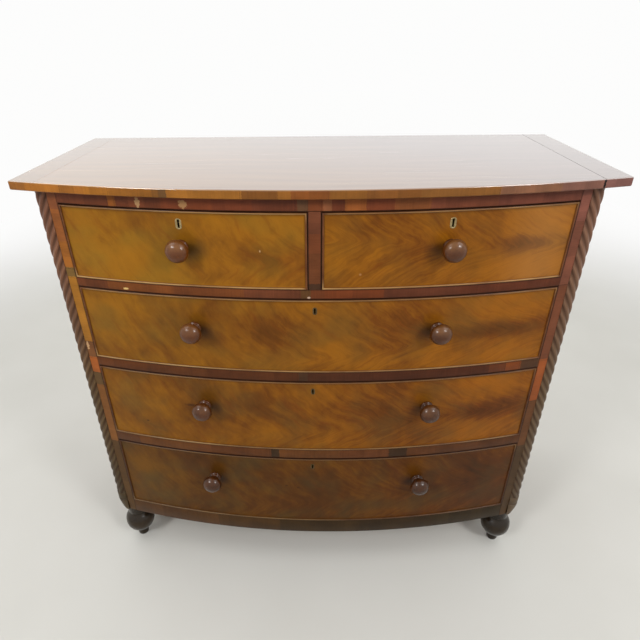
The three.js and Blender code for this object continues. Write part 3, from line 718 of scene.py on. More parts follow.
# Lengths of veneer, each from its place on to the next: (metres, colour). A chip is
# (middle, reach, colour), with places as (metres along, metres across)
BANDS = {
    "post_left": {
        "sections": [
            (0.130, "503618"), (0.398, "774a20"), (0.585, "5b4223"), (0.622, "96501f"),
            (0.665, "744826"), (0.71, "9a651f"), (0.877, "6f5328"), (0.899, "95591f"),
            (0.96, "8c5125"), (1.03, "7d4728"), (1.08, "7d4728"),
        ],
        "joints": [0.585, 0.622, 0.665, 0.71, 0.877, 0.899],
        "chips": [((0.6990, -0.5405), (0.020, 0.0065), "b9936a")],
    },
    "post_right": {
        "sections": [
            (0.130, "46311b"), (0.395, "5b371c"), (0.543, "88461e"), (0.665, "6b3c25"),
            (0.86, "70412f"), (1.0, "7c4a3c"), (1.08, "7c4a3c"),
        ],
        "joints": [0.543, 0.665, 0.86],
    },
    "top_edge": {
        "sections": [
            (-0.608, "88541f"), (-0.573, "9c6121"), (-0.493, "955c20"), (-0.444, "9a611f"),
            (-0.392, "8b571d"), (-0.305, "794d1f"), (-0.29, "634424"), (-0.276, "925d21"),
            (-0.137, "724519"), (-0.069, "87551f"), (-0.044, "7d461b"), (0.026, "83521e"),
            # From 0.34 on, the greyer, bluer lengths are partly painted sheen
            (0.091, "7a4a1d"), (0.191, "7d5022"), (0.34, "7d543c"), (0.457, "7a5244"),
            (0.548, "724c44"), (0.608, "724c44"),
        ],
        "joints": [-0.493, -0.392, -0.2905, -0.137, 0.026, 0.34],
    },
    "frieze_rail": {
        "sections": [
            (-0.523, "6a371f"), (-0.41, "8e511f"), (-0.395, "713b22"), (-0.30, "783c21"),
            (-0.20, "6f3720"), (-0.12, "673521"), (-0.0367, "67462e"), (-0.013, "763e21"),
            (0.013, "8b5434"), (0.031, "703821"), (0.057, "935326"), (0.095, "783c21"),
            (0.151, "824a26"), (0.218, "78412b"), (0.35, "703d2d"), (0.523, "703d2d"),
        ],
        "joints": [-0.41, -0.0367, -0.013, 0.013, 0.057],
        "chips": [
            ((-0.346, 1.056), (0.010, 0.019), "b1895e"),
            ((-0.253, 1.056), (0.015, 0.017), "a87c50"),
        ],
    },
    "rail_upper": {
        "sections": [
            (-0.523, "623317"), (-0.45, "6f3c17"), (-0.3, "6a3919"), (-0.15, "63351e"),
            (-0.031, "58391c"), (-0.012, "613117"), (0.02, "663115"), (0.14, "572d1a"),
            (0.3, "552915"), (0.523, "552915"),
        ],
        "joints": [-0.031, -0.012],
        "chips": [
            ((-0.408, 0.8645), (0.012, 0.0045), "d2ae6c"),
            ((-0.012, 0.862), (0.006, 0.004), "b99b86"),
        ],
    },
    "rail_middle": {
        "sections": [
            (-0.523, "5b3012"), (-0.4, "552e13"), (-0.25, "4f2911"), (-0.04, "452c1a"),
            (-0.018, "462412"), (0.1, "452210"), (0.25, "482310"), (0.40, "592d14"),
            (0.44, "713815"), (0.475, "4b2f1b"), (0.523, "4b2f1b"),
        ],
        "joints": [-0.04, 0.44, 0.475],
    },
    "rail_lower": {
        "sections": [
            (-0.523, "523019"), (-0.46, "5f3716"), (-0.3, "593216"), (-0.1135, "332211"),
            (-0.093, "5c3516"), (0.06, "593116"), (0.182, "372312"), (0.227, "553016"),
            (0.3, "4f2d15"), (0.523, "4f2d15"),
        ],
        "joints": [-0.1135, 0.182],
    },
    "base_rail": {
        "sections": [
            (-0.523, "4b3018"), (-0.38, "4d3116"), (-0.27, "432c13"), (-0.1, "362510"),
            (0.12, "312210"), (0.32, "302311"), (0.523, "302311"),
        ],
        "joints": [-0.27],
    },
    "upright": {
        "sections": [
            (0.88, "452b1a"), (0.893, "62361c"), (0.96, "703c20"), (1.0, "633722"),
            (1.046, "633722"),
        ],
    },
}
ALONG_X = (1.6, 26.0, 26.0)     # scales of straight grain that runs across the chest


# The case

BOARD_ARRIS = 0.4 * MM
BACK_ARRIS = 0.5 * MM
RAIL_ARRIS = 0.3 * MM
CORNER_SHADE_AND_GRIME = (3 * MM, 0.6)     # reach and strength of the painted shade, with grime, beside the drawers


class CHEST_OT_case(bpy.types.Operator):
    """Finishes the sides, posts, back and boards of the case"""

    bl_idname = "chest.case"
    bl_label = "Case"

    def execute(self, context):
        arris = context.scene.chest_sizes.case_arris
        side = plain_mahogany("side_mahogany", "4d2b15", "8a5529")
        for hand, sign in (("left", -1), ("right", 1)):
            dress(f"side_{hand}", side, arris)
            # Painted shade with grime beside the drawers
            shade_and_grime = [(sign * BOW.half_opening, *CORNER_SHADE_AND_GRIME)]
            post = banded_veneer(f"post_veneer_{hand}", "z", BANDS[f"post_{hand}"], shade_and_grime)
            dress(f"corner_post_{hand}", post, arris)
        boards = bare_wood("case_board", "x", "a07c50", "6c4d2e")
        for name in ("dustboard_upper", "dustboard_middle", "dustboard_lower", "bottom_board"):
            dress(name, boards, BOARD_ARRIS)
        dress("back_panel", bare_wood("back_board", "z", "8f6e49", "5e4329"), BACK_ARRIS)
        rail_core = plain_mahogany("rail_core", "4a2a1a", "7a492c", ALONG_X)
        for name in (*RAILS, "centre_division"):
            dress(name, rail_core, RAIL_ARRIS)
        return {"FINISHED"}


# The top

TOP_CORNER = 3 * MM             # rounding of the front corners, seen from above
JOINT_WEIGHT = 0.05             # arris at a joint, of the arris of the outer edges
LEFT_JOINT = 0.1 * MM           # opening beside the left strip
RIGHT_JOINT = 0.35 * MM         # opening on each side of the right strip's joint
GAP_REACH = (4.2 * MM, 45 * MM)  # dark opening of that joint in the front edge


def top_outline(left, right):
    """Outline of a part of the top between two places, and the weight of each edge's arris."""
    half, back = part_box("top_board")[1].xy
    front = BOW.y(0) - TOP_FRONT_OVERHANG + TOP_ARRIS
    tip = BOW.y(HALF_CASE - COLUMN_RADIUS) - COLUMN_PROUD - TOP_TIP_OVERHANG + TOP_ARRIS
    rise = tip - front
    radius = ((half - TOP_ARRIS) ** 2 + rise**2) / (2 * rise)
    xs = spread(left, right, BOW_STEP)
    points = [
        Vector((x, front + radius - math.sqrt((radius + TOP_ARRIS) ** 2 - x * x))) for x in xs
    ]
    points += [Vector((right, back)), Vector((left, back))]
    at_right, at_left = (1.0 if abs(x) > half - 1e-5 else JOINT_WEIGHT for x in (right, left))
    return points, [1.0] * (len(xs) - 1) + [at_right, 1.0, at_left]


def rounded_corner(points, weights, index, reach):
    """Rounds one corner of an outline."""
    corner, before, after = points[index], points[index - 1], points[(index + 1) % len(points)]
    start = corner + (before - corner).normalized() * reach
    end = corner + (after - corner).normalized() * reach
    steps = [i / 4 for i in range(5)]
    points[index:index + 1] = [
        start * (1 - t) ** 2 + corner * 2 * t * (1 - t) + end * t**2 for t in steps
    ]
    weights[index:index] = [1.0] * 4


class CHEST_OT_top(bpy.types.Operator):
    """Lays the top: a middle board with a strip at each end"""

    bl_idname = "chest.top"
    bl_label = "Top"

    def execute(self, context):
        sizes = context.scene.chest_sizes
        low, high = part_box("top_board")
        half, joint = high.x, high.x - sizes.end_strip
        gap = ((joint, (low.z + high.z) / 2), GAP_REACH, "140b08")
        edge = BANDS["top_edge"] | {"chips": [gap]}
        finishes = [
            top_veneer("top_veneer", joint),
            banded_veneer("top_banding", "x", edge, polish=0.12, seed=3.0),
            plain_mahogany("top_underside", "3d2317", "6b3f28", ALONG_X),
        ]
        a = sizes.top_arris
        profile = [(1 - math.sin(s), low.z + a * (1 - math.cos(s))) for s in quarter(4)]
        profile += [(1 - math.sin(s), high.z - a * (1 - math.cos(s))) for s in quarter(4)[::-1]]
        for name, left, right in (
            ("top_strip_left", -half, -joint),
            ("top_middle", LEFT_JOINT - joint, joint - RIGHT_JOINT),
            ("top_strip_right", joint + RIGHT_JOINT, half),
        ):
            points, weights = top_outline(left, right)
            if name != "top_middle":
                corner = 0 if left < 0 else len(points) - 3
                rounded_corner(points, weights, corner, TOP_CORNER)
            shape = bmesh.new()
            loft(shape, [
                [Vector((*p, z)) for p in inset(points, [a * share * weight for weight in weights])]
                for share, z in profile
            ])
            bmesh.ops.recalc_face_normals(shape, faces=shape.faces)
            for face in shape.faces:
                up, back = face.normal.z, face.normal.y
                face.material_index = 0 if up > 0.5 else 2 if up < -0.9 or back > 0.6 else 1
            piece = new_piece(name, shape, finishes, sharp=60)
            piece.modifiers.new("Even shading", "WEIGHTED_NORMAL").keep_sharp = True
            hang(piece, "case", "top_wood", "top_board")
        return {"FINISHED"}


# The columns

HALF_BLOCK_GROOVE = 3.2 * MM    # half the height of the groove
GROOVE_SHADE = 3.5 * MM         # how far the painted shade of the groove reaches
BLOCK_ARRIS = 1.6 * MM
ROPE_SINK = 2 * MM              # the rope's foot, let into the block


def rope_rings(hand, low, high):
    """Rings of the rope as (point, depth of the point in its valley)."""
    shares = [i / STRAND_POINTS - 0.5 for i in range(STRAND_POINTS)]
    rings = []
    for level in spread(low, high, ROPE_STEP):
        turn = -hand * 2 * math.pi * level / ROPE_TURN
        ring = []
        for strand in range(ROPE_STRANDS):
            for share in shares:
                depth = (1 - math.cos(2 * math.pi * share)) / 4 + 2 * share**2
                radius = COLUMN_RADIUS - ROPE_GROOVE * depth
                angle = turn + (strand + share) * 2 * math.pi / ROPE_STRANDS
                point = Vector((radius * math.cos(angle), radius * math.sin(angle), level))
                ring.append((point, depth))
        rings.append(ring)
    return rings


def block_rings(hand):
    """Rings of the plain block, which is drawn in towards the post at its foot."""
    sections = []
    for share in spread(0, 1, 1 / 8):
        drawn = BLOCK_TAPER * (1 - share) ** 1.5
        sections.append((share * BLOCK_TAPER_HEIGHT, BLOCK_RADIUS, drawn))
    for share in spread(-0.5, 0.5, 1 / 8):
        angle = math.pi * share
        level = BLOCK_GROOVE_LEVEL + HALF_BLOCK_GROOVE * math.sin(angle)
        sections.append((level, BLOCK_RADIUS - BLOCK_GROOVE * math.cos(angle), 0.0))
    for angle in quarter(4):
        level = BLOCK_HEIGHT - BLOCK_ARRIS * (1 - math.sin(angle))
        sections.append((level, BLOCK_RADIUS - BLOCK_ARRIS * (1 - math.cos(angle)), 0.0))
    rings = []
    for level, radius, drawn in sections:
        depth = max(0.0, 1 - abs(level - BLOCK_GROOVE_LEVEL) / GROOVE_SHADE)
        middle = Vector((-hand * drawn, 0, level))
        rings.append([(middle + point, depth) for point in circle(radius, BLOCK_SIDES)])
    return rings


class CHEST_OT_columns(bpy.types.Operator):
    """Carves the rope-twist columns and turns their blocks"""

    bl_idname = "chest.columns"
    bl_label = "Columns"

    def execute(self, context):
        wood = rope_wood("rope_wood")
        x = HALF_CASE - COLUMN_RADIUS
        y = BOW.y(x) - COLUMN_PROUD + COLUMN_RADIUS
        post_outer = abs(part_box("column_left")[1].x)
        side_front = y + COLUMN_BACK - SEAT
        rope_foot = BLOCK_HEIGHT - ROPE_SINK
        for hand, side in ((-1, "left"), (1, "right")):
            low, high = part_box(f"column_{side}")
            place = Vector((hand * x, y, low.z))
            shape = bmesh.new()
            layer = shape.verts.layers.float.new("valley")
            for rings in (rope_rings(hand, rope_foot, high.z - low.z), block_rings(hand)):
                made = loft(shape, [[place + point for point, _ in ring] for ring in rings])
                for vertices, ring in zip(made, rings):
                    for vertex, (_, depth) in zip(vertices, ring):
                        vertex[layer] = depth
            for point, normal in (
                ((hand * post_outer, 0, 0), (-hand, 0, 0)), ((0, side_front, 0), (0, 1, 0)),
            ):
                everything = [*shape.verts, *shape.edges, *shape.faces]
                bmesh.ops.bisect_plane(
                    shape, geom=everything, plane_co=point, plane_no=normal, clear_outer=True,
                )
            piece = new_piece(f"rope_column_{side}", shape, [wood], sharp=50)
            hang(piece, "case", "column_wood", f"column_{side}")
        return {"FINISHED"}


# Facings of the rails

FACING_SUNK = 1.2 * MM          # of a facing's sides, behind the bow
FACING_PROUD = 0.15 * MM
FACING_ARRIS = 0.5 * MM
STOP_RISE = 7 * MM              # of the drawer stops over their rail
RAIL_SHADE_AND_GRIME = 2.4 * MM            # reach of the painted shade, with grime, beside a drawer
FRIEZE_SHADOW = (6 * MM, 0.35)    # reach and strength of the painted shadow under the top


def facing(name, low, high, veneer):
    """A thin bowed strip with softened edges, laid on a rail between two corners."""
    proud, arris = FACING_PROUD, min(FACING_ARRIS, (high.z - low.z) / 6)
    bend = 0.3 * arris
    lower = [(0.0, -FACING_SUNK), (0.0, proud - arris), (bend, proud - bend), (arris, proud)]
    profile = [(low.z + rise, ahead) for rise, ahead in lower]
    profile += [(high.z - rise, ahead) for rise, ahead in lower[::-1]]
    shape = bmesh.new()
    loft(shape, [
        [Vector((x, BOW.y(x, ahead), z)) for z, ahead in profile]
        for x in spread(low.x, high.x, BOW_STEP)
    ])
    hang(new_piece(name, shape, [veneer]), "case", "rail_wood")


class CHEST_OT_rails(bpy.types.Operator):
    """Bands the rails and the upright with short lengths of veneer"""

    bl_idname = "chest.rails"
    bl_label = "Rails"

    def execute(self, context):
        for i, name in enumerate(RAILS):
            low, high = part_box(name)
            # Painted shade with grime along the edges beside the drawers
            shade_and_grime = [(low.z, RAIL_SHADE_AND_GRIME, 0.75)] if name != "base_rail" else []
            # Painted shadow under the top
            if name == "frieze_rail":
                shade_and_grime.append((high.z, *FRIEZE_SHADOW))
            else:
                high = high - Vector((0, 0, STOP_RISE))
                shade_and_grime.append((high.z, RAIL_SHADE_AND_GRIME, 0.5))
            veneer = banded_veneer(f"{name}_veneer", "x", BANDS[name], shade_and_grime, seed=i * 5.3)
            facing(f"{name}_facing", low, high, veneer)
        low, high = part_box("centre_division")
        # Painted shade with grime beside the drawers
        shade_and_grime = [(x, RAIL_SHADE_AND_GRIME, 0.75) for x in (low.x, high.x)]
        veneer = banded_veneer("upright_veneer", "z", BANDS["upright"], shade_and_grime)
        facing("upright_facing", low, high, veneer)
        return {"FINISHED"}


# Drawer fronts

# How the veneer of each front looks. Light is a factor for its colours, in part painted
# shade that darkens the lower fronts; strength that of its fine streaks at the right, paleness
# that of its lower edge, and green the share of its cast.
# The spine is given at both ends, in shares of the height, and so is how far its feathers lean;
# below is their lean under the spine, fan how they spread.
# A cloud or mark is (middle, reach, amount): across in metres and up in shares of the height,
# but a mark's reach in metres both ways. A mark above 0 is dark, one below 0 pale. The dark marks
# round the knobs are painted shadow with grime; the pale cloud and pale mark at the right end of
# the short right drawer are painted sheen
FLAMES = {
    "drawer_short_left": {
        "seed": 1.3, "tone": 0.60, "light": (1.0, 0.99, 1.0), "strength": 0.9, "rubbed": 0.4,
        "green": 0.35, "cast": "72601f",
        "spine": (-0.2, 0.35), "lean": (0.75, 1.1), "below": 1.2, "fan": 0.8,
        "clouds": [
            ((-0.21, 0.55), (0.10, 0.42), -0.12), ((-0.11, 0.48), (0.08, 0.3), -0.16),
            ((-0.48, 0.35), (0.08, 0.5), 0.12), ((-0.03, 0.3), (0.09, 0.6), -0.08),
            ((-0.35, 0.80), (0.07, 0.3), -0.10), ((-0.21, 0.12), (0.1, 0.25), -0.10),
        ],
        "marks": [((-0.1088, 0.51), (0.0022, 0.0038), -0.9), ((-0.248, 0.49), (0.036, 0.033), 0.7)],
    },
    "drawer_short_right": {
        "seed": 7.9, "tone": 0.55, "light": (0.95, 0.93, 0.78), "strength": 1.5, "rubbed": 0.1,
        "green": 0.35, "cast": "71511b",
        "spine": (0.62, 0.46), "lean": (1.3, 2.0), "below": 1.5, "fan": 0.7,
        "clouds": [
            ((0.44, 0.50), (0.16, 0.20), -0.34), ((0.20, 0.45), (0.09, 0.3), -0.12),
            ((0.45, 0.85), (0.13, 0.35), 0.18), ((0.45, 0.12), (0.14, 0.3), 0.14),
            ((0.50, 0.6), (0.05, 0.8), 0.14), ((0.10, 0.6), (0.12, 0.8), -0.10),
        ],
        "marks": [
            ((0.247, 0.49), (0.040, 0.033), 0.7), ((0.46, 0.7), (0.12, 0.8), -0.10),
            ((0.092, 0.2), (0.004, 0.004), -0.35),
        ],
    },
    "drawer_upper": {
        "seed": 13.1, "tone": 0.53, "light": (0.90, 0.88, 0.8), "strength": 1.2, "rubbed": 0.15,
        "green": 0.45, "cast": "644c1d",
        "spine": (-0.1, 0.47), "lean": (0.8, 2.0), "below": 1.5, "fan": 0.72,
        "clouds": [
            ((-0.24, 0.62), (0.12, 0.5), -0.14), ((-0.09, 0.55), (0.12, 0.45), -0.16),
            ((0.42, 0.50), (0.20, 0.19), -0.38), ((0.40, 0.85), (0.18, 0.3), 0.2),
            ((0.46, 0.12), (0.16, 0.25), 0.16), ((-0.46, 0.6), (0.12, 0.6), 0.1),
            ((0.18, 0.45), (0.1, 0.4), -0.08),
        ],
        "marks": [((-0.247, 0.55), (0.036, 0.033), 0.7), ((0.247, 0.55), (0.038, 0.033), 0.7)],
    },
    "drawer_middle": {
        "seed": 21.7, "tone": 0.49, "light": (0.84, 0.79, 0.6), "strength": 1.3, "rubbed": 0.15,
        "green": 0.5, "cast": "56431e",
        "spine": (0.0, 0.5), "lean": (0.8, 2.0), "below": 1.4, "fan": 0.72,
        "clouds": [
            ((-0.26, 0.6), (0.12, 0.5), -0.14), ((-0.12, 0.6), (0.10, 0.4), -0.14),
            ((0.41, 0.48), (0.19, 0.2), -0.34), ((0.42, 0.87), (0.16, 0.3), 0.30),
            ((0.40, 0.15), (0.14, 0.3), 0.22), ((0.18, 0.5), (0.12, 0.4), -0.1),
        ],
        "marks": [
            ((-0.30, 0.585), (0.024, 0.006), 0.6), ((-0.423, 0.26), (0.005, 0.004), 0.8),
            ((-0.247, 0.58), (0.036, 0.033), 0.65), ((0.247, 0.58), (0.038, 0.033), 0.65),
        ],
    },
    "drawer_lower": {
        "seed": 33.5, "tone": 0.42, "light": (0.48, 0.46, 0.35), "strength": 1.0, "rubbed": 0.1,
        "green": 0.5, "cast": "43381c",
        "spine": (0.1, 0.5), "lean": (0.9, 1.8), "below": 1.3, "fan": 0.75,
        "clouds": [
            ((-0.30, 0.75), (0.12, 0.4), -0.14), ((0.0, 0.6), (0.2, 0.5), -0.06),
            ((0.43, 0.6), (0.14, 0.4), -0.22), ((0.09, 0.9), (0.1, 0.3), 0.14),
            ((-0.45, 0.5), (0.14, 0.8), 0.2),
        ],
        "marks": [
            ((-0.075, 0.57), (0.006, 0.003), 0.8), ((-0.045, 0.545), (0.006, 0.003), 0.7),
            ((-0.247, 0.61), (0.036, 0.033), 0.6), ((0.247, 0.61), (0.038, 0.033), 0.6),
        ],
    },
}

SHEET_MARGIN = 3.2 * MM         # of the veneer within the edge of its front, under the bead
SHEET_THICKNESS = 0.12 * MM
SHEET_CLEAR = 3 * MM            # points of the sheet's grid keep off its hole by this
HOLE_LAP = 0.8 * MM             # of the lining over the veneer
BEAD_OUTER = 0.15 * MM          # of the bead past the edge of its front
BEAD_CREST = 2 * MM             # from that edge to the highest line of the bead
BEAD_ROUND = 1.8 * MM           # height of the rounding on the bead's outer side
BEAD_CORNER = 0.9 * MM          # painted shadow of the gap, with dirt, from the bead's edge up to here
BEAD_BEND = 2 / 2.3             # exponent of its rounded section
BEAD_STEPS = (52, 6)            # across and up

# Width and height of the lining, height of the keyhole, radius of its head, width of its slot
SHORT_KEYHOLE = (12.5 * MM, 22.5 * MM, 18 * MM, 3 * MM, 4.4 * MM)
LONG_KEYHOLE = (9.5 * MM, 17.5 * MM, 13.5 * MM, 2.7 * MM, 4 * MM)


def keyhole(name):
    """The middle of a drawer's keyhole on its face, and the keyhole's sizes."""
    low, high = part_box(f"{name}_front")
    place = Vector(((low.x + high.x) / 2, high.z + DRAWER_TOP_GAP - KEYHOLE_DROP))
    place.x += KEYHOLE_SHIFTS.get(name, 0.0)
    return place, SHORT_KEYHOLE if "short" in name else LONG_KEYHOLE


TINY = 1e-6


def keyhole_outline(height, head, slot, grow):
    """Points of a keyhole, a round head over a straight slot, evenly spaced by angle."""
    head, half_slot = head + grow, slot / 2 + grow
    foot = height / 2 + grow
    middle = foot - head
    points = []
    for direction in circle(1.0, KEYHOLE_POINTS):
        c, s = direction.xy
        to_head = 0.0
        if head > abs(middle * c):
            to_head = middle * s + math.sqrt(head**2 - (middle * c) ** 2)
        to_side = half_slot / max(abs(c), TINY)
        to_end = (foot if s < 0 else middle) / max(abs(s), TINY)
        points.append(direction.xy * max(to_head, min(to_side, to_end)))
    return points


def oval_outline(width, height, grow):
    """Points of an upright slot with round ends, evenly spaced by angle."""
    radius, straight = width / 2 + grow, (height - width) / 2
    points = []
    for direction in circle(1.0, KEYHOLE_POINTS):
        c, s = direction.xy
        reach = radius / max(abs(c), TINY)
        if reach * abs(s) > straight:
            reach = straight * abs(s) + math.sqrt(radius**2 - (straight * c) ** 2)
        points.append(direction.xy * reach)
    return points


def inside(point, outline):
    """Whether a point lies within a closed outline."""
    found = False
    for a, b in zip(outline, [*outline[1:], outline[0]]):
        if (a.y > point.y) != (b.y > point.y):
            if point.x < (b.x - a.x) * (point.y - a.y) / (b.y - a.y) + a.x:
                found = not found
    return found


def veneer_sheet(name, low, high, hole, finish):
    """A bowed sheet over the face of a drawer, cut out for the keyhole lining."""
    xs, zs = (spread(*ends) for ends in zip((low.x, low.z), (high.x, high.z), SHEET_STEPS))
    edge = [Vector(point) for point in rim(xs, zs)]
    middle = sum(hole, Vector((0, 0))) / len(hole)
    reach = max((p - middle).length for p in hole)
    grid = [Vector((x, z)) for x in xs[1:-1] for z in zs[1:-1]]
    grid = [p for p in grid if (p - middle).length > reach + SHEET_CLEAR]
    loops, first = [], 0
    for count in (len(edge), len(hole)):
        loops += [(first + i, first + (i + 1) % count) for i in range(count)]
        first += count
    points, _, faces, *_ = delaunay_2d_cdt(edge + hole + grid, loops, [], 1, 1e-6)
    shape = bmesh.new()
    ahead = SHEET_THICKNESS - FACE_INSET
    made = [shape.verts.new((p.x, BOW.y(p.x, ahead), p.y)) for p in points]
    for face in faces:
        centre = sum((points[i] for i in face), Vector((0, 0))) / len(face)
        if not inside(centre, hole):
            shape.faces.new([made[i] for i in face])
    for vertex in [v for v in shape.verts if not v.link_faces]:
        shape.verts.remove(vertex)
    bmesh.ops.recalc_face_normals(shape, faces=shape.faces)
    if sum(face.normal.y for face in shape.faces) > 0:
        bmesh.ops.reverse_faces(shape, faces=shape.faces)
    return new_piece(name, shape, [finish], closed=False)


def bead_profile(width, proud):
    """Section of the cock bead as (distance from the drawer's edge, height over its face)."""
    shoulder, foot = proud - BEAD_ROUND, 0.1 * MM
    behind_outside, behind_inside = -5 * MM, -0.6 * MM
    line = [(-BEAD_OUTER, behind_outside)]
    line += [
        (BEAD_CREST - (BEAD_OUTER + BEAD_CREST) * math.cos(a) ** BEAD_BEND,
         shoulder + (proud - shoulder) * math.sin(a) ** BEAD_BEND) for a in quarter(5)
    ]
    line += [
        (BEAD_CREST + (width - BEAD_CREST) * math.sin(a) ** BEAD_BEND,
         foot + (proud - foot) * max(math.cos(a), 0.0) ** BEAD_BEND) for a in quarter(6)[1:]
    ]
    return [*line, (width, behind_inside)]


def bead(name, low, high, width, proud, finish):
    """A rounded bead, mitred at its corners, round a bowed drawer front."""
    across_steps, up_steps = BEAD_STEPS
    upright_wear_and_sheen, head_wear_and_sheen = 0.1, 0.7
    shape = bmesh.new()
    layer = shape.verts.layers.float.new("crest")
    rings, crests = [], []
    for distance, height in bead_profile(width, proud):
        left, right = low.x + distance, high.x - distance
        foot, top = low.z + distance, high.z - distance
        across = spread(left, right, (right - left) / across_steps)
        up = spread(foot, top, (top - foot) / up_steps)
        rings.append([Vector((x, BOW.y(x, height - FACE_INSET), z)) for x, z in rim(across, up)])
        # Painted shadow, with dirt, on the bead's outer side by the gap
        if distance < BEAD_CORNER:
            crests.append([-1.0] * len(rings[0]))
            continue
        # Paleness of the crest, wear and painted highlight, stronger on the horizontal beads than
        # the upright ones
        rubbed = max(0.0, min(1.0, (height / proud - 0.4) / 0.4))
        upright = [rubbed * upright_wear_and_sheen] * up_steps
        crests.append(
            [rubbed] * across_steps + upright + [rubbed * head_wear_and_sheen] * across_steps + upright,
        )
    made = loft(shape, rings, lids=False)
    for ring, levels in zip(made, crests):
        for vertex, level in zip(ring, levels):
            vertex[layer] = level
    count = len(made[0])
    for i in range(count):
        j = (i + 1) % count
        shape.faces.new((made[-1][i], made[-1][j], made[0][j], made[0][i]))
    return new_piece(name, shape, [finish], sharp=50)


class CHEST_OT_fronts(bpy.types.Operator):
    """Veneers the drawer fronts and runs a cock bead round each"""

    bl_idname = "chest.fronts"
    bl_label = "Drawer fronts"

    def execute(self, context):
        sizes = context.scene.chest_sizes
        core = plain_mahogany("front_core", "5a3520", "8d5a35", ALONG_X, rough=0.5)
        bead_finish = bead_wood("bead_wood")
        margin = Vector((SHEET_MARGIN, 0, SHEET_MARGIN))
        for name in DRAWERS:
            low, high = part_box(f"{name}_front")
            look = FLAMES[name] | {"ends": (low.x, high.x)}
            veneer = flame_veneer(f"{name}_veneer", low.z, high.z, look)
            dress(f"{name}_front", core)
            place, (width, height, *_) = keyhole(name)
            hole = [place + point for point in oval_outline(width, height, -HOLE_LAP)]
            sheet = veneer_sheet(f"{name}_veneer_sheet", low + margin, high - margin, hole, veneer)
            hang(sheet, name, "flame_wood")
            strip = bead(f"{name}_bead", low, high, sizes.bead_width, sizes.bead_proud, bead_finish)
            hang(strip, name, "rail_wood")
        return {"FINISHED"}


# Keyholes

LINING_FIT = 0.1 * MM           # of the lining into the wood, and of its hole past the keyhole
LINING_SUNK = 0.5 * MM
LINING_BEVEL = (0.2 * MM, 0.35 * MM)  # width of its outer and its inner bevel
LINING_DEPTH = 4 * MM           # of its hole


class CHEST_OT_keyholes(bpy.types.Operator):
    """Sets a brass lining into each keyhole"""

    bl_idname = "chest.keyholes"
    bl_label = "Keyholes"

    def execute(self, context):
        pale = old_brass("lining_brass", "ad9b70", "806c46")
        dull = old_brass("dull_brass", "6d5a3a", "3a2c1e")
        lock = old_brass("lock_brass", "8c7646", "4d3c24")
        for name in DRAWERS:
            dress(f"{name}_lock", lock)
            (x, z), (width, height, *hole) = keyhole(name)
            place = BOW.frame_at(x, z, -FACE_INSET)
            proud = context.scene.chest_sizes.lining_proud * (1.0 if "short" in name else 0.7)
            outside = oval_outline(width, height, LINING_FIT)
            within = keyhole_outline(*hole, -LINING_FIT)
            loops = [
                (outside, -LINING_SUNK), (outside, proud * 0.55),
                (oval_outline(width, height, -LINING_BEVEL[0]), proud),
                (keyhole_outline(*hole, LINING_BEVEL[1]), proud),
                (within, proud * 0.5), (within, -LINING_DEPTH),
            ]
            shape = bmesh.new()
            loft(shape, [
                [place @ Vector((p.x, -ahead, p.y)) for p in outline] for outline, ahead in loops
            ], lids=False)
            brass = pale if "short" in name else dull
            hang(new_piece(f"{name}_lining", shape, [brass], sharp=40), name, "brass")
        return {"FINISHED"}


# Turned work, as (share of the radius, share of the height)

KNOB_PROFILE = [
    (0.62, 0), (0.62, 0.045), (0.58, 0.09), (0.47, 0.13), (0.43, 0.20), (0.47, 0.28),
    (0.66, 0.36), (0.88, 0.45), (0.985, 0.535), (1, 0.60), (0.965, 0.70), (0.87, 0.80),
    (0.70, 0.895), (0.45, 0.96), (0.2, 0.993),
]
FOOT_TOE = [(0.30, 0), (0.355, 0.015), (0.375, 0.06), (0.372, 0.12), (0.352, 0.165), (0.36, 0.185)]
FOOT_BALL = [
    (math.cos(angle), 0.505 + 0.319 * math.sin(angle))
    for angle in map(math.radians, range(-64, 45, 12))
]
FOOT_PAD = [(0.66, 0.757), (0.64, 0.785), (0.65, 0.81), (0.69, 0.825), (0.70, 0.85), (0.70, 1)]


def profile_in_size(line, radius, height):
    """A profile in metres, closed at both ends on the axis."""
    return [(0, 0)] + [(r * radius, h * height) for r, h in line] + [(0, height)]


class CHEST_OT_knobs(bpy.types.Operator):
    """Turns the knobs"""

    bl_idname = "chest.knobs"
    bl_label = "Knobs"

    def execute(self, context):
        base = context.scene.chest_colours.knob_wood
        wood = turned_wood("knob_wood", base, "7c5530", 0.36, (0.9, 0.18, 1.37), 0.6, 0.4)
        line = flowing(KNOB_PROFILE, 4)
        profile = profile_in_size(line, KNOB_RADIUS, KNOB_REACH - SEAT)
        crests = [0] + [max(0.0, min(1.0, (h - 0.5) * 4)) for _, h in line] + [1]
        # Painted highlight with wear: a knob's crest is pale only on its upper part, from this far
        # below its middle
        highlight_reach = 0.3 * KNOB_RADIUS
        for name in DRAWERS:
            low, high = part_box(f"{name}_front")
            out = LONG_KNOB_SHARE * BOW.half_opening
            knobs = [("_left", -out), ("_right", out)]
            if "short" in name:
                knobs = [("", (low.x + high.x) / 2)]
            for suffix, x in knobs:
                node = f"{name}_knob{suffix}"
                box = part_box(node)
                z = (box[0].z + box[1].z) / 2
                place = BOW.frame_at(x, z, SEAT - FACE_INSET) @ Matrix.Rotation(math.pi / 2, 4, "X")
                shape = bmesh.new()
                layer = turn_up(shape, profile, KNOB_SIDES, place, crests)
                for vertex in shape.verts:
                    above = (vertex.co.z - z + highlight_reach) / KNOB_RADIUS
                    vertex[layer] *= max(0.0, min(1.0, above))
                hang(new_piece(f"{node}_turned", shape, [wood], sharp=50), name, "knob_wood", node)
        return {"FINISHED"}


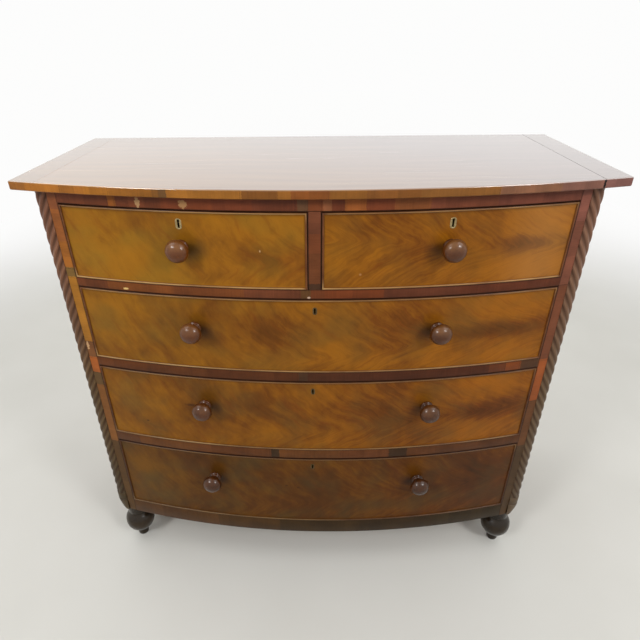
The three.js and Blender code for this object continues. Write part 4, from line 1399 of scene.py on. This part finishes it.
class CHEST_OT_feet(bpy.types.Operator):
    """Turns the feet"""

    bl_idname = "chest.feet"
    bl_label = "Feet"

    def execute(self, context):
        base = context.scene.chest_colours.foot_wood
        wood = turned_wood("foot_wood", base, "40301d", 0.3, (0.6, 0.15, 1.37), 0.3)
        line = flowing(FOOT_TOE + FOOT_BALL + FOOT_PAD, 3)
        crests = [0] + [max(0.0, (r - 0.82) / 0.18) for r, _ in line] + [0]
        for name in ("foot_front_left", "foot_front_right", "foot_back_left", "foot_back_right"):
            low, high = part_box(name)
            middle = (low + high) / 2
            profile = profile_in_size(line, (high.x - low.x) / 2, high.z)
            shape = bmesh.new()
            turn_up(shape, profile, FOOT_SIDES, Matrix.Translation((middle.x, middle.y, 0)), crests)
            hang(new_piece(f"{name}_turned", shape, [wood], sharp=50), "case", "foot_wood", name)
        return {"FINISHED"}


# Drawer boxes

class CHEST_OT_boxes(bpy.types.Operator):
    """Finishes the sides, backs and bottoms of the drawers"""

    bl_idname = "chest.boxes"
    bl_label = "Drawer boxes"

    def execute(self, context):
        side = bare_wood("drawer_side_wood", "y", "c09c6a", "8a683f")
        across = bare_wood("drawer_board_wood", "x", "bb9764", "86643e")
        for name in DRAWERS:
            for part, finish in (
                ("side_left", side), ("side_right", side), ("back", across), ("bottom", across),
            ):
                dress(f"{name}_{part}", finish)
        return {"FINISHED"}


# The stage, in metres

FLOOR_REACH = 40.0              # to the sides and to the front
WALL_FOOT = 2.2                 # behind the middle of the chest
SWEEP_RADIUS = 1.4              # of the curve between floor and wall
WALL_HEIGHT = 6.0
WHITE_FROM, WHITE_TO = 1.7, 3.6  # distances over which the floor turns plain white
ROOM_LIGHT = 0.38               # of the world, where it only lights
LAMPS = (                       # name, place, aim, width, depth, watts
    ("lamp_left", (-2.3, -2.6, 2.9), (0.0, 0.0, 0.7), 0.9, 0.9, 64.0),
    ("lamp_right", (2.3, -2.4, 2.7), (0.0, 0.0, 0.6), 0.9, 0.9, 54.0),
    ("lamp_high_left", (-1.7, -0.1, 3.1), (-0.2, -0.2, 0.8), 2.6, 1.7, 30.0),
    ("lamp_high_right", (1.9, -0.5, 2.9), (0.2, -0.2, 0.8), 2.4, 1.7, 26.0),
    ("lamp_back", (0.0, 1.5, 3.4), (0.0, 2.9, 1.0), 5.0, 2.2, 50.0),
)

# The camera, from the fit to the photograph
PICTURE_SIZE = 640
PICTURE_CENTRE = (303.7, 324.4)  # pixel that the camera looks at
FOCAL_PIXELS = 511.3
EYE_PLACE = (0.0108, -1.182, 1.3457)
EYE_PITCH, EYE_YAW, EYE_ROLL = (math.radians(angle) for angle in (30.1, -2.1, -0.9))


def paper():
    """Pale paper that the camera sees as plain white away from the chest."""
    f = Finish("stage_paper")
    floor_tone = f.ramp(f.noise((3.0, 3.0, 3.0)), (0.0, "c6c5bf"), (1.0, "cfcec9"))
    wall = f.z.span(0.0, 0.9, smooth=True)
    f.finish(f.mix(wall, floor_tone, "f0efec"), 0.9, specular=0.1)
    far = (f.x * f.x + f.y * f.y).root().span(WHITE_FROM, WHITE_TO, smooth=True)
    white = f.give("ShaderNodeEmission", {"Color": (0.98, 0.98, 0.975, 1.0)})
    lit = Value(f, f.shader.outputs["BSDF"])
    factor = f.seen() * f.calc("MAXIMUM", wall, far)
    f.cover(f.give("ShaderNodeMixShader", {0: factor, 1: lit, 2: white}))
    return f.material


class CHEST_OT_stage(bpy.types.Operator):
    """Sets the floor, the backdrop, the lamps and the camera"""

    bl_idname = "chest.stage"
    bl_label = "Stage"

    def execute(self, context):
        scene = context.scene
        scene.view_settings.view_transform = "Standard"
        line = [(-FLOOR_REACH, 0.0)] + [
            (WALL_FOOT + SWEEP_RADIUS * math.sin(a), SWEEP_RADIUS * (1 - math.cos(a)))
            for a in quarter(12)
        ] + [(WALL_FOOT + SWEEP_RADIUS, WALL_HEIGHT)]
        shape = bmesh.new()
        sides = [[Vector((x, y, z)) for y, z in line] for x in (-FLOOR_REACH, FLOOR_REACH)]
        loft(shape, sides, lids=False, around=False)
        floor = new_piece("stage_floor", shape, [paper()], sharp=60, closed=False)

        scene.world = bpy.data.worlds.new("plain_room")
        scene.world.use_nodes = True
        air = Nodes(scene.world.node_tree)
        sky = air.tree.nodes["Background"]
        air.feed(sky.inputs["Color"], (1.0, 0.99, 0.97, 1.0))
        air.feed(sky.inputs["Strength"], air.seen().span(0.0, 1.0, ROOM_LIGHT, 1.0))

        for name, place, aim, width, depth, power in LAMPS:
            lamp = bpy.data.lights.new(name, "AREA")
            lamp.shape = "RECTANGLE"
            lamp.size, lamp.size_y, lamp.energy = width, depth, power
            holder = bpy.data.objects.new(name, lamp)
            holder.location = place
            towards = Vector(aim) - Vector(place)
            holder.rotation_euler = towards.to_track_quat("-Z", "Y").to_euler()
            scene.collection.objects.link(holder)

        ahead = Vector((
            math.sin(EYE_YAW) * math.cos(EYE_PITCH), math.cos(EYE_YAW) * math.cos(EYE_PITCH),
            -math.sin(EYE_PITCH),
        ))
        level = Vector((math.cos(EYE_YAW), -math.sin(EYE_YAW), 0.0))
        upright = level.cross(ahead)
        across = level * math.cos(EYE_ROLL) + upright * math.sin(EYE_ROLL)
        up = upright * math.cos(EYE_ROLL) - level * math.sin(EYE_ROLL)
        eye = bpy.data.cameras.new("eye")
        eye.sensor_width = 36.0
        eye.lens = FOCAL_PIXELS * eye.sensor_width / PICTURE_SIZE
        eye.shift_x = 0.5 - PICTURE_CENTRE[0] / PICTURE_SIZE
        eye.shift_y = PICTURE_CENTRE[1] / PICTURE_SIZE - 0.5
        camera = bpy.data.objects.new("eye", eye)
        turned = Matrix((across, up, -ahead)).transposed().to_4x4()
        camera.matrix_world = Matrix.Translation(EYE_PLACE) @ turned
        scene.collection.objects.link(camera)
        scene.camera = camera
        return {"FINISHED"}


# The panel and the list of steps

STEPS = (
    CHEST_OT_case, CHEST_OT_top, CHEST_OT_columns, CHEST_OT_rails, CHEST_OT_fronts,
    CHEST_OT_keyholes, CHEST_OT_knobs, CHEST_OT_feet, CHEST_OT_boxes, CHEST_OT_stage,
)


class CHEST_PT_panel(bpy.types.Panel):
    """Lists the steps that make the chest, with its sizes and colours"""

    bl_idname = "CHEST_PT_panel"
    bl_label = "Bow Front Chest"
    bl_space_type = "VIEW_3D"
    bl_region_type = "UI"
    bl_category = "Chest"

    def draw(self, context):
        for group in (context.scene.chest_sizes, context.scene.chest_colours):
            for name in group.__class__.__annotations__:
                self.layout.prop(group, name)
        for step in STEPS:
            self.layout.operator(step.bl_idname)


CLASSES = (ChestSizes, ChestColours, *STEPS, CHEST_PT_panel)


def register():
    for kind in CLASSES:
        bpy.utils.register_class(kind)
    bpy.types.Scene.chest_sizes = bpy.props.PointerProperty(type=ChestSizes)
    bpy.types.Scene.chest_colours = bpy.props.PointerProperty(type=ChestColours)


def unregister():
    del bpy.types.Scene.chest_colours
    del bpy.types.Scene.chest_sizes
    for kind in reversed(CLASSES):
        bpy.utils.unregister_class(kind)


def main():
    """Makes the whole chest."""
    register()
    bpy.ops.chest.case()
    bpy.ops.chest.top()
    bpy.ops.chest.columns()
    bpy.ops.chest.rails()
    bpy.ops.chest.fronts()
    bpy.ops.chest.keyholes()
    bpy.ops.chest.knobs()
    bpy.ops.chest.feet()
    bpy.ops.chest.boxes()
    bpy.ops.chest.stage()


if __name__ == "__main__":
    main()
